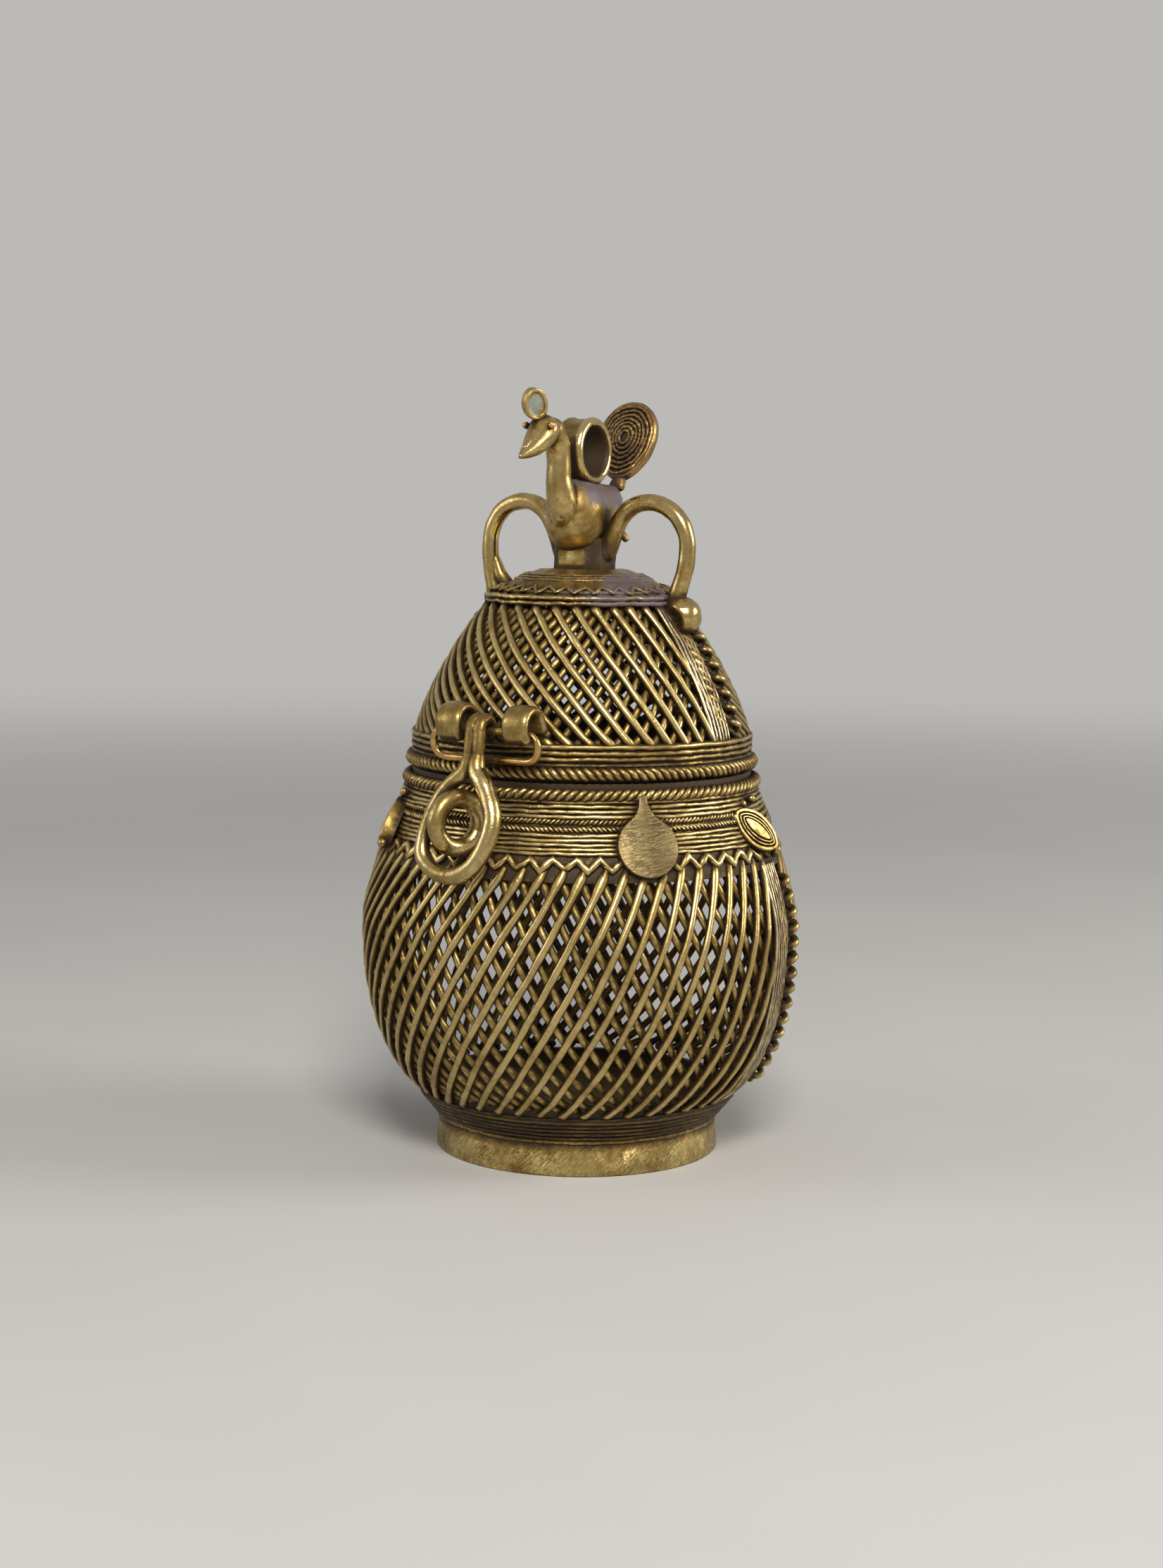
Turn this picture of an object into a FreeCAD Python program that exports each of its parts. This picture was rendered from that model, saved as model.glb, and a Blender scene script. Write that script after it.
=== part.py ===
import FreeCAD, Part
import math
import os

from FreeCAD import Matrix, Placement, Rotation, Vector

# A lost-wax cast brass box in the shape of a coconut, in millimetres.
# +Z is up and the origin is at the middle of the foot's bottom face.
# The hasp is towards -Y and the hinge towards +Y.
# An azimuth is measured from the hasp towards +X, in degrees.

# Foot and underside
FOOT_RADIUS = 29.3
FOOT_TOP_RADIUS = 28.6
FOOT_HEIGHT = 7.0
FOOT_WALL = 3.4
FOOT_RIDGE_DIAMETER = 1.2
UNDERSIDE_HEIGHT = 5.6
DISH_THICKNESS = 2.2
UNDERSIDE_THREAD_DIAMETER = 0.8
UNDERSIDE_THREAD_COUNT = 5

# Box wall: outside radii of its outer wires, and heights between them
BASE_RADIUS = 33.1
BELLY_RADIUS = 45.0
RIM_RADIUS = 36.0
BELLY_RISE = 35.4
SHOULDER_RISE = 27.8
BELLY_LOW_SHARES = (2.5, 0.763)
BELLY_HIGH_SHARES = (1.4, 1.08)

# Lattice wires
LATTICE_WIRE_DIAMETER = 1.3
LATTICE_FUSE_DEPTH = 0.12
BODY_WIRES_PER_TURN = 64
LID_WIRES_PER_TURN = 54
LATTICE_END_DEPTH = 1.0
LATTICE_SHORTEST_SHARE = 0.12
BODY_STEEP_SPAN_DEG = 21.0
BODY_SLANT_SPAN_DEG = 84.0
BODY_EASE_SHARE = 0.25
LID_STEEP_SPAN_DEG = 23.3
LID_SLANT_SPAN_DEG = 108.0
LID_EASE_SHARE = 0.0
INNER_SPAN_DEG = 45.0
BODY_WIRE_RUNS = 4
LID_WIRE_RUNS = 3

# Side ribs: a strip of upright threads with a coil column beside it
BODY_RIB_DEG = 95.0
LID_RIB_DEG = 84.0
RIB_THREAD_DIAMETER = 1.1
RIB_THREAD_COUNT = 6
RIB_COIL_RADIUS = 1.75
RIB_COIL_WIRE_DIAMETER = 1.5
RIB_COIL_PITCH = 3.2
RIB_COIL_LEAN_DEG = 12.0

# Collar above the lattice
COLLAR_HEIGHT = 15.3
COLLAR_WALL = 2.0
COLLAR_THREAD_DIAMETER = 1.0
COLLAR_THREAD_SINK_SHARE = 0.3
UPPER_THREAD_COUNT = 4
LOWER_THREAD_COUNT = 5
PLAIT_DIAMETER = 2.2
WAVE_WIRE_DIAMETER = 0.9
WAVE_HEIGHT = 2.6
WAVE_PITCH = 4.5
COLLAR_BAND_SHARES = {"wave": 0.2, "lower": 0.47, "plait": 0.69, "upper": 0.885}

# Mouth
MOUTH_RADIUS = 31.6
RIM_LEDGE_HEIGHT = 3.2
BODY_ROPE_DIAMETER = 2.9
BODY_ROPE_RISE = 0.8
BODY_ROPE_SHIFT = 0.6
LID_SEAT_CLEARANCE = 0.3
LID_ROPE_DIAMETER = 3.0
ROPE_GAP = 1.15

# Ornaments on the collar
ORNAMENT_PITCH_DEG = 45.0
DISC_TURN_DEG = 48.8
DISC_DIAMETER = 12.2
DISC_PROUD = 1.5
DISC_SINK = 2.0
DISC_DROP = 9.0
DISC_STEM_TOP_WIDTH = 1.6
DISC_STEM_FOOT_WIDTH = 3.6
PETAL_LENGTH = 10.5
PETAL_WIDTH = 7.6
PETAL_PROUD = 1.3
PETAL_STEP = 0.5
PETAL_STEP_SHARES = (0.7, 0.4)
PETAL_DROP = 8.0
PETAL_SLOTS = (2, 3, 5, 6, 7)
PETAL_BEAD_DIAMETER = 2.3
PETAL_BEAD_SHARES = ((-0.3, 0.5), (0.3, 0.5), (-0.62, 0.05), (0.0, -0.56))

# Lid wall
LID_WALL = 2.6
LID_BAND_HEIGHT = 7.1
LID_BAND_RADIUS = 34.2
LID_THREAD_DIAMETER = 1.15
LID_THREAD_COUNT = 4
LID_BASE_RADIUS = 34.4
LID_LATTICE_RISE = 25.9
LID_CURVE_SHARES = (1.3, 0.9)

# Cap and pedestal
CAP_RADIUS = 20.8
CAP_NECK_RADIUS = 7.0
CAP_RISE = 8.2
CAP_EDGE = 1.6
CAP_WALL = 2.0
CAP_THREAD_DIAMETER = 1.0
CAP_LOW_THREAD_COUNT = 3
CAP_HIGH_THREAD_COUNT = 3
CAP_WAVE_PITCH = 3.4
CAP_WAVE_HEIGHT = 1.8
CAP_BAND_SHARES = {"wave": 0.36, "high": 0.58}
PEDESTAL_WIDTH = 11.0
PEDESTAL_FRONT_WIDTH = 6.4
PEDESTAL_RISE = 3.6
PEDESTAL_SINK = 1.5

# Loop handles
HANDLE_DIAMETER = 3.6
HANDLE_ROOT_OUT = 5.0
HANDLE_ROOT_RISE = 2.0
HANDLE_TOP_OUT = 14.6
HANDLE_TOP_RISE = 12.3
HANDLE_REACH = 23.6
HANDLE_REACH_RISE = 3.4
HANDLE_FOOT_OUT = 20.8
HANDLE_ROOT_LEAN_DEG = 22.0
HANDLE_FOOT_LEAN_DEG = 16.0
HANDLE_BALL_DIAMETER = 8.0
HANDLE_BEAD_DIAMETER = 3.0
HANDLE_BEAD_COUNT = 3
HANDLE_BEAD_SPREAD_DEG = 6.5

# Bird on the lid, facing the hasp
BIRD_CHEST_REACH = 9.6
BIRD_TAIL_REACH = 14.0
BIRD_GIRTH_WIDTH = 12.4
BIRD_GIRTH_HEIGHT = 13.4
BIRD_TAIL_WIDTH = 3.6
BIRD_TAIL_HEIGHT = 12.0
BIRD_CHEST_RISE = 6.7
BIRD_CHEST_SECTIONS_DEG = (15.0, 40.0, 65.0, 90.0)
NECK_DIAMETER = 5.2
NECK_FOOT_REACH = 6.4
NECK_BEND_REACH = 10.8
NECK_BEND_RISE = 14.6
NECK_TOP_REACH = 14.0
NECK_TOP_RISE = 23.0
NECK_FOOT_LEAN_DEG = 50.0
NECK_TOP_LEAN_DEG = 62.0
HEAD_DIAMETER = 6.6
HEAD_REACH = 16.8
HEAD_RISE = 22.5
BEAK_REACH = 25.9
BEAK_RISE = 17.0
BEAK_ROOT_DIAMETER = 6.4
BEAK_TIP_DIAMETER = 1.0
EYE_DIAMETER = 1.9
CREST_LENGTH = 6.8
CREST_WIDTH = 6.0
CREST_THICKNESS = 1.7
CREST_TURN_DEG = 65.0
CREST_LEAN_DEG = 35.0
CREST_SINK = 0.5
BACK_RING_DIAMETER = 14.0
BACK_RING_BORE = 9.7
BACK_RING_LENGTH = 7.0
BACK_RING_REACH = 1.6
BACK_RING_SINK = 1.6
FAN_LENGTH = 17.0
FAN_WIDTH = 12.4
FAN_THICKNESS = 1.5
FAN_LEAN_DEG = 24.0
FAN_STALK_WIDTH = 3.4
FAN_STALK_LENGTH = 2.2
FAN_ROOT_SINK = 1.6
FAN_RIDGE_DIAMETER = 0.8
FAN_RIDGE_SHARES = (0.86, 0.66, 0.46, 0.26)

# Back hinge
HINGE_STANDOFF = 3.7
HINGE_RISE = 2.4
HINGE_BARREL_RADIUS = 2.6
HINGE_PIN_RADIUS = 1.0
HINGE_RUNNING_CLEARANCE = 0.06
HINGE_KNUCKLE_WIDTH = 6.0
HINGE_KNUCKLE_GAP = 0.4
HINGE_LUG_WIDTH = 5.3
HINGE_PIN_HEAD_RADIUS = 1.8
HINGE_PIN_HEAD_LENGTH = 1.0
HINGE_LEAF_THICKNESS = 2.2
HINGE_LEAF_LENGTH = 7.4
HINGE_LEAF_LIFT_DEG = 50.0
HINGE_LUG_LIFT_DEG = -70.0

# Hasp, its lugs and its wire
HASP_STANDOFF = 4.1
HASP_RISE = 2.4
PIN_WIRE_DIAMETER = 1.5
PIN_LOOP_HALF_LENGTH = 12.6
PIN_LOOP_DROP = 5.6
PIN_LOOP_SETBACK = 0.9
PIN_LOOP_GAP = 2.2
PIN_END_SHIFT = 2.6
LUG_SPACING = 15.4
LUG_WIDTH = 5.3
LUG_THICKNESS = 1.7
LUG_RADIUS = 3.7
LUG_RISE = 0.7
LUG_SETBACK = 0.5
LUG_TAIL_LENGTH = 3.4
LUG_FRONT_DEG = -58.0
LUG_BACK_DEG = 150.0
EYE_WIDTH = 5.3
EYE_RADIUS = 2.5
EYE_CLEARANCE = 0.1
LOOP_WIRE_DIAMETER = 3.3
LOOP_OUTER_WIDTH = 17.6
LOOP_DROP = 27.2
LOOP_BELLY_STANDOFF = 3.6
LOOP_STEM_FORWARD = 1.3
LOOP_STRAND_SPLIT = 1.9
LOOP_FLARE_DEG = 30.0
LOOP_FLARE_SHARE = 0.6
LOOP_SHARES = {"crotch": 0.22, "flare": 0.4, "wide": 0.7}

# Staple that the hasp drops over
STAPLE_WIRE_DIAMETER = 3.5
STAPLE_RADIUS = 6.3
STAPLE_DROP = 4.3
STAPLE_ROOT_DEPTH = 0.6
STAPLE_TURN_DEG = 35.0
STAPLE_CLEARANCE = 1.05

# Levels and places worked out from the sizes above
BODY_BASE_Z = FOOT_HEIGHT + UNDERSIDE_HEIGHT
BELLY_Z = BODY_BASE_Z + BELLY_RISE
RIM_Z = BELLY_Z + SHOULDER_RISE
COLLAR_BASE_Z = RIM_Z - COLLAR_HEIGHT
BODY_ROPE_Z = RIM_Z + BODY_ROPE_RISE
BODY_ROPE_RADIUS = RIM_RADIUS - BODY_ROPE_SHIFT
LEDGE_TOP_Z = RIM_Z + RIM_LEDGE_HEIGHT
LID_BOTTOM_Z = LEDGE_TOP_Z + LID_SEAT_CLEARANCE
LID_ROPE_Z = BODY_ROPE_Z + BODY_ROPE_DIAMETER / 2 + ROPE_GAP + LID_ROPE_DIAMETER / 2
LID_BASE_Z = LID_BOTTOM_Z + LID_BAND_HEIGHT
LID_TOP_Z = LID_BASE_Z + LID_LATTICE_RISE
CAP_TOP_Z = LID_TOP_Z + CAP_RISE
PEDESTAL_TOP_Z = CAP_TOP_Z + PEDESTAL_RISE
HINGE_Y = BODY_ROPE_RADIUS + HINGE_STANDOFF
HINGE_Z = BODY_ROPE_Z + HINGE_RISE
HASP_Y = -(LID_BASE_RADIUS + HASP_STANDOFF)
HASP_Z = LID_BASE_Z + HASP_RISE

# How finely curves are sampled, and what counts as straight
TURN_STEPS = 160
PROBE = LATTICE_WIRE_DIAMETER / 20
PROBE_SHARE = 0.01
STRAIGHT_SHARE = 1e-4


def body_radius(z):
    """Outside radius of the box wall at a height."""
    if z <= BELLY_Z:
        share = max(z - BODY_BASE_Z, 0) / BELLY_RISE
        power, root = BELLY_LOW_SHARES
        return BASE_RADIUS + (BELLY_RADIUS - BASE_RADIUS) * (1 - (1 - share) ** power) ** root
    share = min((z - BELLY_Z) / SHOULDER_RISE, 1)
    power, root = BELLY_HIGH_SHARES
    return RIM_RADIUS + (BELLY_RADIUS - RIM_RADIUS) * (1 - share**power) ** root


def lid_radius(z):
    """Outside radius of the lid's lattice at a height."""
    share = min(max((z - LID_BASE_Z) / LID_LATTICE_RISE, 0), 1)
    power, root = LID_CURVE_SHARES
    return CAP_RADIUS + (LID_BASE_RADIUS - CAP_RADIUS) * (1 - share**power) ** root


def collar_radius(z):
    """Radius of the plain wall that carries the collar's threads."""
    return body_radius(z) - COLLAR_THREAD_DIAMETER * (1 - COLLAR_THREAD_SINK_SHARE)


def cap_radius(z):
    """Radius of the cap's cone at a height, with its upright edge below."""
    share = max(z - LID_TOP_Z - CAP_EDGE, 0) / (CAP_RISE - CAP_EDGE)
    return CAP_RADIUS + (CAP_NECK_RADIUS - CAP_RADIUS) * share


def polar(radius, azimuth, z):
    """A point at a radius, an azimuth and a height."""
    angle = math.radians(azimuth)
    return Vector(radius * math.sin(angle), -radius * math.cos(angle), z)


def wall_normal(radius_at, z):
    """Outward normal of a turned wall as its radial and upright parts."""
    slope = (radius_at(z + PROBE) - radius_at(z - PROBE)) / (2 * PROBE)
    length = math.hypot(1, slope)
    return 1 / length, -slope / length


def wall_point(radius_at, azimuth, z, depth):
    """A point a depth inside a turned wall, square to it."""
    radial, upright = wall_normal(radius_at, z)
    return polar(radius_at(z) - depth * radial, azimuth, z - depth * upright)


def wall_placement(radius_at, azimuth, z):
    """Placement on a turned wall: local X runs round it, Y up it and Z out of it."""
    radial, upright = wall_normal(radius_at, z)
    angle = math.radians(azimuth)
    along = Vector(math.cos(angle), math.sin(angle), 0)
    out = Vector(radial * math.sin(angle), -radial * math.cos(angle), upright)
    up = out.cross(along)
    at = polar(radius_at(z), azimuth, z)
    rows = [(along[i], up[i], out[i], at[i]) for i in range(3)]
    return Placement(Matrix(*rows[0], *rows[1], *rows[2], 0, 0, 0, 1))


def placed(shape, placement):
    """A copy of a shape at a placement."""
    moved = shape.copy()
    moved.Placement = placement.multiply(moved.Placement)
    return moved


def tangent_arc(start, corner, end):
    """Arc from start to end that touches both lines to their corner."""
    half = (end - start).Length / 2
    middle = (start + end) * 0.5
    lift = (corner - middle).Length
    if lift < half * STRAIGHT_SHARE:
        return Part.LineSegment(start, end).toShape()
    bulge = half * math.tan(math.atan2(lift, half) / 2)
    return Part.Arc(start, middle + (corner - middle) * (bulge / lift), end).toShape()


def smooth_path(points, tangents, closed=False):
    """Wire of tangent arcs, two for each stretch, through points with given directions."""
    pairs = list(zip(points, tangents))
    following = pairs[1:] + pairs[:1] if closed else pairs[1:]
    edges = []
    for (start, leave), (end, arrive) in zip(pairs, following):
        chord = end - start
        ahead = chord.dot(leave + arrive)
        spread = 2 * (1 - leave.dot(arrive))
        square = chord.dot(chord)
        if spread > STRAIGHT_SHARE**2:
            reach = (math.sqrt(ahead * ahead + spread * square) - ahead) / spread
        else:
            reach = square / (2 * ahead)
        joint = (start + end + (leave - arrive) * reach) * 0.5
        edges.append(tangent_arc(start, start + leave * reach, joint))
        edges.append(tangent_arc(joint, end - arrive * reach, end))
    return Part.Wire(edges)


def round_wire(points, tangents, diameter, closed=False):
    """Solid round wire along a smooth path."""
    directions = [Vector(t).normalize() for t in tangents]
    path = smooth_path(points, directions, closed)
    section = Part.Wire([Part.Circle(points[0], directions[0], diameter / 2).toShape()])
    return path.makePipeShell([section], True, False)


def turn_table(radius_at, z_start, z_end, ease=0):
    """Heights along a wall, with the share of a slanted wire's turn made at each; an ease turns it later."""
    heights = [z_start + (z_end - z_start) * i / TURN_STEPS for i in range(TURN_STEPS + 1)]
    turned = [0.0]
    for low, high in zip(heights, heights[1:]):
        near, far = radius_at(low), radius_at(high)
        turned.append(turned[-1] + math.hypot(far - near, high - low) * 2 / (near + far))
    shares = [turn / turned[-1] for turn in turned]
    return heights, [share * (1 - ease + ease * share) for share in shares]


def height_at(table, share):
    """Height at which a slanted wire has made a share of its turn."""
    heights, turned = table
    share = min(max(share, 0.0), 1.0)
    step = next(i for i in range(1, len(turned)) if turned[i] >= share)
    part = (share - turned[step - 1]) / (turned[step] - turned[step - 1])
    return heights[step - 1] + (heights[step] - heights[step - 1]) * part


def wall_wire(radius_at, azimuth_at, table, share_from, share_to, depth, diameter, runs):
    """A wire laid in a turned wall between two shares of its way."""

    def at(share):
        z = height_at(table, share)
        return wall_point(radius_at, azimuth_at(share, z), z, depth)

    shares = [share_from + (share_to - share_from) * i / runs for i in range(runs + 1)]
    points = [at(share) for share in shares]
    tangents = [at(min(s + PROBE_SHARE, 1)) - at(max(s - PROBE_SHARE, 0)) for s in shares]
    return round_wire(points, tangents, diameter)


def slanted_layer(radius_at, table, per_turn, rib, spans, way, depth, runs):
    """One layer of lattice wires in two half turns, each fanning out from its rib."""
    pitch = 360 / per_turn
    steep, slant = spans
    wires = []
    for high in (rib, rib + 180):
        low = high - 180
        for i in range(2 * per_turn):
            start = low - 180 + pitch * (i + 0.5)
            span = steep + (slant - steep) * (high - start) / 180
            if span <= 0:
                continue
            ends = sorted(((low - start) * way / span, (high - start) * way / span))
            share_from, share_to = max(ends[0], 0), min(ends[1], 1)
            if share_to - share_from < LATTICE_SHORTEST_SHARE:
                continue
            wires.append(
                wall_wire(
                    radius_at,
                    lambda share, z: start + way * span * share,
                    table,
                    share_from,
                    share_to,
                    depth,
                    LATTICE_WIRE_DIAMETER,
                    max(round(runs * (share_to - share_from)), 1),
                )
            )
    return Part.Compound(wires)


def lattice(radius_at, z_start, z_end, per_turn, rib, spans, ease, runs):
    """The outer and the inner layer of a lattice wall."""
    table = turn_table(radius_at, z_start, z_end, ease)
    outer_depth = LATTICE_WIRE_DIAMETER / 2
    inner_depth = outer_depth + LATTICE_WIRE_DIAMETER - LATTICE_FUSE_DEPTH
    outer = slanted_layer(radius_at, table, per_turn, rib, spans, -1, outer_depth, runs)
    inner = slanted_layer(radius_at, table, per_turn, rib, (INNER_SPAN_DEG,) * 2, 1, inner_depth, runs)
    return outer, inner


def rib_strips(radius_at, z_start, z_end, rib, runs):
    """Upright threads side by side at the two ribs."""
    table = turn_table(radius_at, z_start, z_end)
    threads = []
    for middle in (rib, rib + 180):
        for i in range(RIB_THREAD_COUNT):
            aside = (i - (RIB_THREAD_COUNT - 1) / 2) * RIB_THREAD_DIAMETER
            threads.append(
                wall_wire(
                    radius_at,
                    lambda share, z: middle + math.degrees(aside / radius_at(z)),
                    table,
                    0,
                    1,
                    RIB_THREAD_DIAMETER / 2 - LATTICE_FUSE_DEPTH,
                    RIB_THREAD_DIAMETER,
                    runs,
                )
            )
    return Part.Compound(threads)


def rib_coils(radius_at, z_start, z_end, rib):
    """Columns of coiled wire beside the strips, one ring to a turn."""
    beside = RIB_THREAD_COUNT * RIB_THREAD_DIAMETER / 2 + RIB_COIL_RADIUS
    turn_radius = RIB_COIL_RADIUS - RIB_COIL_WIRE_DIAMETER / 2
    way = 1 if z_end > z_start else -1
    rings = []
    for middle in (rib, rib + 180):
        z = z_start
        while (z_end - z) * way > 0:
            azimuth = middle + math.degrees(beside / radius_at(z))
            ring = Part.makeTorus(turn_radius, RIB_COIL_WIRE_DIAMETER / 2)
            ring.rotate(Vector(0, 0, 0), Vector(1, 0, 0), -90)
            ring.rotate(Vector(0, 0, 0), Vector(0, 0, 1), RIB_COIL_LEAN_DEG)
            rings.append(placed(ring, wall_placement(radius_at, azimuth, z)))
            radial, upright = wall_normal(radius_at, z)
            z += way * RIB_COIL_PITCH * radial
    return Part.Compound(rings)


def ring(radius, z, diameter):
    """A round thread laid level round the axis."""
    return Part.makeTorus(radius, diameter / 2, Vector(0, 0, z))


def lathe(outline):
    """Solid turned about the upright axis from radius and height points."""
    points = [Vector(radius, 0, z) for radius, z in outline]
    face = Part.Face(Part.makePolygon(points + points[:1]))
    return face.revolve(Vector(0, 0, 0), Vector(0, 0, 1), 360)


def stacked_threads(radius_at, middle_z, count, diameter):
    """Threads one above the other on a turned wall, each sunk in it by a share of its own thickness."""
    threads = []
    for i in range(count):
        z = middle_z + (i - (count - 1) / 2) * diameter
        threads.append(ring(radius_at(z) + diameter * (0.5 - COLLAR_THREAD_SINK_SHARE), z, diameter))
    return Part.Compound(threads)


def wave_wire(radius_at, middle_z, height, pitch, diameter):
    """A closed zigzag of round wire on a turned wall."""
    waves = round(2 * math.pi * radius_at(middle_z) / pitch)
    points, tangents = [], []
    for i in range(2 * waves):
        azimuth = 180 * i / waves
        z = middle_z + (height - diameter) / 2 * (1 if i % 2 else -1)
        points.append(wall_point(radius_at, azimuth, z, diameter * (COLLAR_THREAD_SINK_SHARE - 0.5)))
        angle = math.radians(azimuth)
        tangents.append(Vector(math.cos(angle), math.sin(angle), 0))
    return round_wire(points, tangents, diameter, closed=True)


def ellipse_plate(length, width, thickness):
    """Oval plate in the local XY plane with its length along Y, rising along Z from 0."""
    curve = Part.Ellipse(Vector(0, length / 2, 0), Vector(width / 2, 0, 0), Vector(0, 0, 0))
    if width > length:
        curve = Part.Ellipse(Vector(width / 2, 0, 0), Vector(0, length / 2, 0), Vector(0, 0, 0))
    return Part.Face(Part.Wire([curve.toShape()])).extrude(Vector(0, 0, thickness))


def build_foot():
    """Foot ring, its ridge, the dish that closes the box and the threads under it."""
    foot_ring = lathe(
        [
            (FOOT_RADIUS, 0),
            (FOOT_TOP_RADIUS, FOOT_HEIGHT),
            (FOOT_TOP_RADIUS - FOOT_WALL, FOOT_HEIGHT),
            (FOOT_RADIUS - FOOT_WALL, 0),
        ]
    )
    foot_ridge = ring(FOOT_TOP_RADIUS, FOOT_HEIGHT, FOOT_RIDGE_DIAMETER)
    base_dish = lathe(
        [
            (0, FOOT_HEIGHT),
            (FOOT_TOP_RADIUS, FOOT_HEIGHT),
            (BASE_RADIUS, BODY_BASE_Z),
            (BASE_RADIUS - DISH_THICKNESS, BODY_BASE_Z),
            (FOOT_TOP_RADIUS - DISH_THICKNESS, FOOT_HEIGHT + DISH_THICKNESS),
            (0, FOOT_HEIGHT + DISH_THICKNESS),
        ]
    )
    threads = []
    for i in range(UNDERSIDE_THREAD_COUNT):
        share = (i + 1) / (UNDERSIDE_THREAD_COUNT + 1)
        radius = FOOT_TOP_RADIUS + (BASE_RADIUS - FOOT_TOP_RADIUS) * share
        threads.append(ring(radius, FOOT_HEIGHT + UNDERSIDE_HEIGHT * share, UNDERSIDE_THREAD_DIAMETER))
    return {
        "foot_ring": foot_ring,
        "foot_ridge": foot_ridge,
        "base_dish": base_dish,
        "underside_threads": Part.Compound(threads),
    }


def build_body_walls():
    """The box's lattice and its side ribs."""
    z_top = COLLAR_BASE_Z + LATTICE_END_DEPTH
    outer, inner = lattice(
        body_radius,
        z_top,
        BODY_BASE_Z,
        BODY_WIRES_PER_TURN,
        BODY_RIB_DEG,
        (BODY_STEEP_SPAN_DEG, BODY_SLANT_SPAN_DEG),
        BODY_EASE_SHARE,
        BODY_WIRE_RUNS,
    )
    coil_end = BODY_BASE_Z + RIB_COIL_PITCH
    return {
        "body_lattice_outer": outer,
        "body_lattice_inner": inner,
        "body_rib_strips": rib_strips(body_radius, z_top, BODY_BASE_Z, BODY_RIB_DEG, BODY_WIRE_RUNS),
        "body_rib_coils": rib_coils(body_radius, z_top - RIB_COIL_PITCH, coil_end, BODY_RIB_DEG),
    }


def build_collar():
    """The band round the box's mouth with its threads, plait, zigzag and rope."""
    levels = {name: COLLAR_BASE_Z + COLLAR_HEIGHT * share for name, share in COLLAR_BAND_SHARES.items()}
    middle_z = (COLLAR_BASE_Z + RIM_Z) / 2
    heights = (COLLAR_BASE_Z, middle_z, RIM_Z)
    out = [Vector(collar_radius(z), 0, z) for z in heights]
    back = [Vector(collar_radius(z) - COLLAR_WALL, 0, z) for z in heights]
    outline = Part.Wire(
        [
            Part.Arc(*out).toShape(),
            Part.LineSegment(out[2], back[2]).toShape(),
            Part.Arc(*reversed(back)).toShape(),
            Part.LineSegment(back[0], out[0]).toShape(),
        ]
    )
    plait_radius = collar_radius(levels["plait"]) + PLAIT_DIAMETER * (0.5 - COLLAR_THREAD_SINK_SHARE)
    ledge_radius = BODY_ROPE_RADIUS - BODY_ROPE_DIAMETER / 4
    return {
        "collar_wall": Part.Face(outline).revolve(Vector(0, 0, 0), Vector(0, 0, 1), 360),
        "collar_wave_wire": wave_wire(
            collar_radius, levels["wave"], WAVE_HEIGHT, WAVE_PITCH, WAVE_WIRE_DIAMETER
        ),
        "collar_lower_threads": stacked_threads(
            collar_radius, levels["lower"], LOWER_THREAD_COUNT, COLLAR_THREAD_DIAMETER
        ),
        "collar_plait_ring": ring(plait_radius, levels["plait"], PLAIT_DIAMETER),
        "collar_upper_threads": stacked_threads(
            collar_radius, levels["upper"], UPPER_THREAD_COUNT, COLLAR_THREAD_DIAMETER
        ),
        "body_rim": lathe(
            [
                (MOUTH_RADIUS, RIM_Z),
                (ledge_radius, RIM_Z),
                (ledge_radius, LEDGE_TOP_Z),
                (MOUTH_RADIUS, LEDGE_TOP_Z),
            ]
        ),
        "body_rope": ring(BODY_ROPE_RADIUS, BODY_ROPE_Z, BODY_ROPE_DIAMETER),
    }


def build_gate_disc():
    """Filed round disc with a tapered stem up to the rope."""
    disc = Part.makeCylinder(DISC_DIAMETER / 2, DISC_SINK + DISC_PROUD, Vector(0, 0, -DISC_SINK))
    corners = [
        Vector(-DISC_STEM_FOOT_WIDTH / 2, DISC_DIAMETER / 4, -DISC_SINK),
        Vector(DISC_STEM_FOOT_WIDTH / 2, DISC_DIAMETER / 4, -DISC_SINK),
        Vector(DISC_STEM_TOP_WIDTH / 2, DISC_DROP, -DISC_SINK),
        Vector(-DISC_STEM_TOP_WIDTH / 2, DISC_DROP, -DISC_SINK),
    ]
    stem = Part.Face(Part.makePolygon(corners + corners[:1])).extrude(Vector(0, 0, DISC_SINK + DISC_PROUD))
    plate = disc.fuse(stem).removeSplitter()
    return placed(plate, wall_placement(collar_radius, DISC_TURN_DEG, RIM_Z - DISC_DROP))


def leaf_plate(size_share, bottom, top):
    """Pointed leaf plate between two heights, at a share of the petal's size."""
    tip = PETAL_LENGTH / 2 * size_share
    side = PETAL_WIDTH / 2 * size_share
    ends = Vector(0, tip, bottom), Vector(0, -tip, bottom)
    outline = Part.Wire(
        [
            Part.Arc(ends[0], Vector(side, 0, bottom), ends[1]).toShape(),
            Part.Arc(ends[1], Vector(-side, 0, bottom), ends[0]).toShape(),
        ]
    )
    return Part.Face(outline).extrude(Vector(0, 0, top - bottom))


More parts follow.
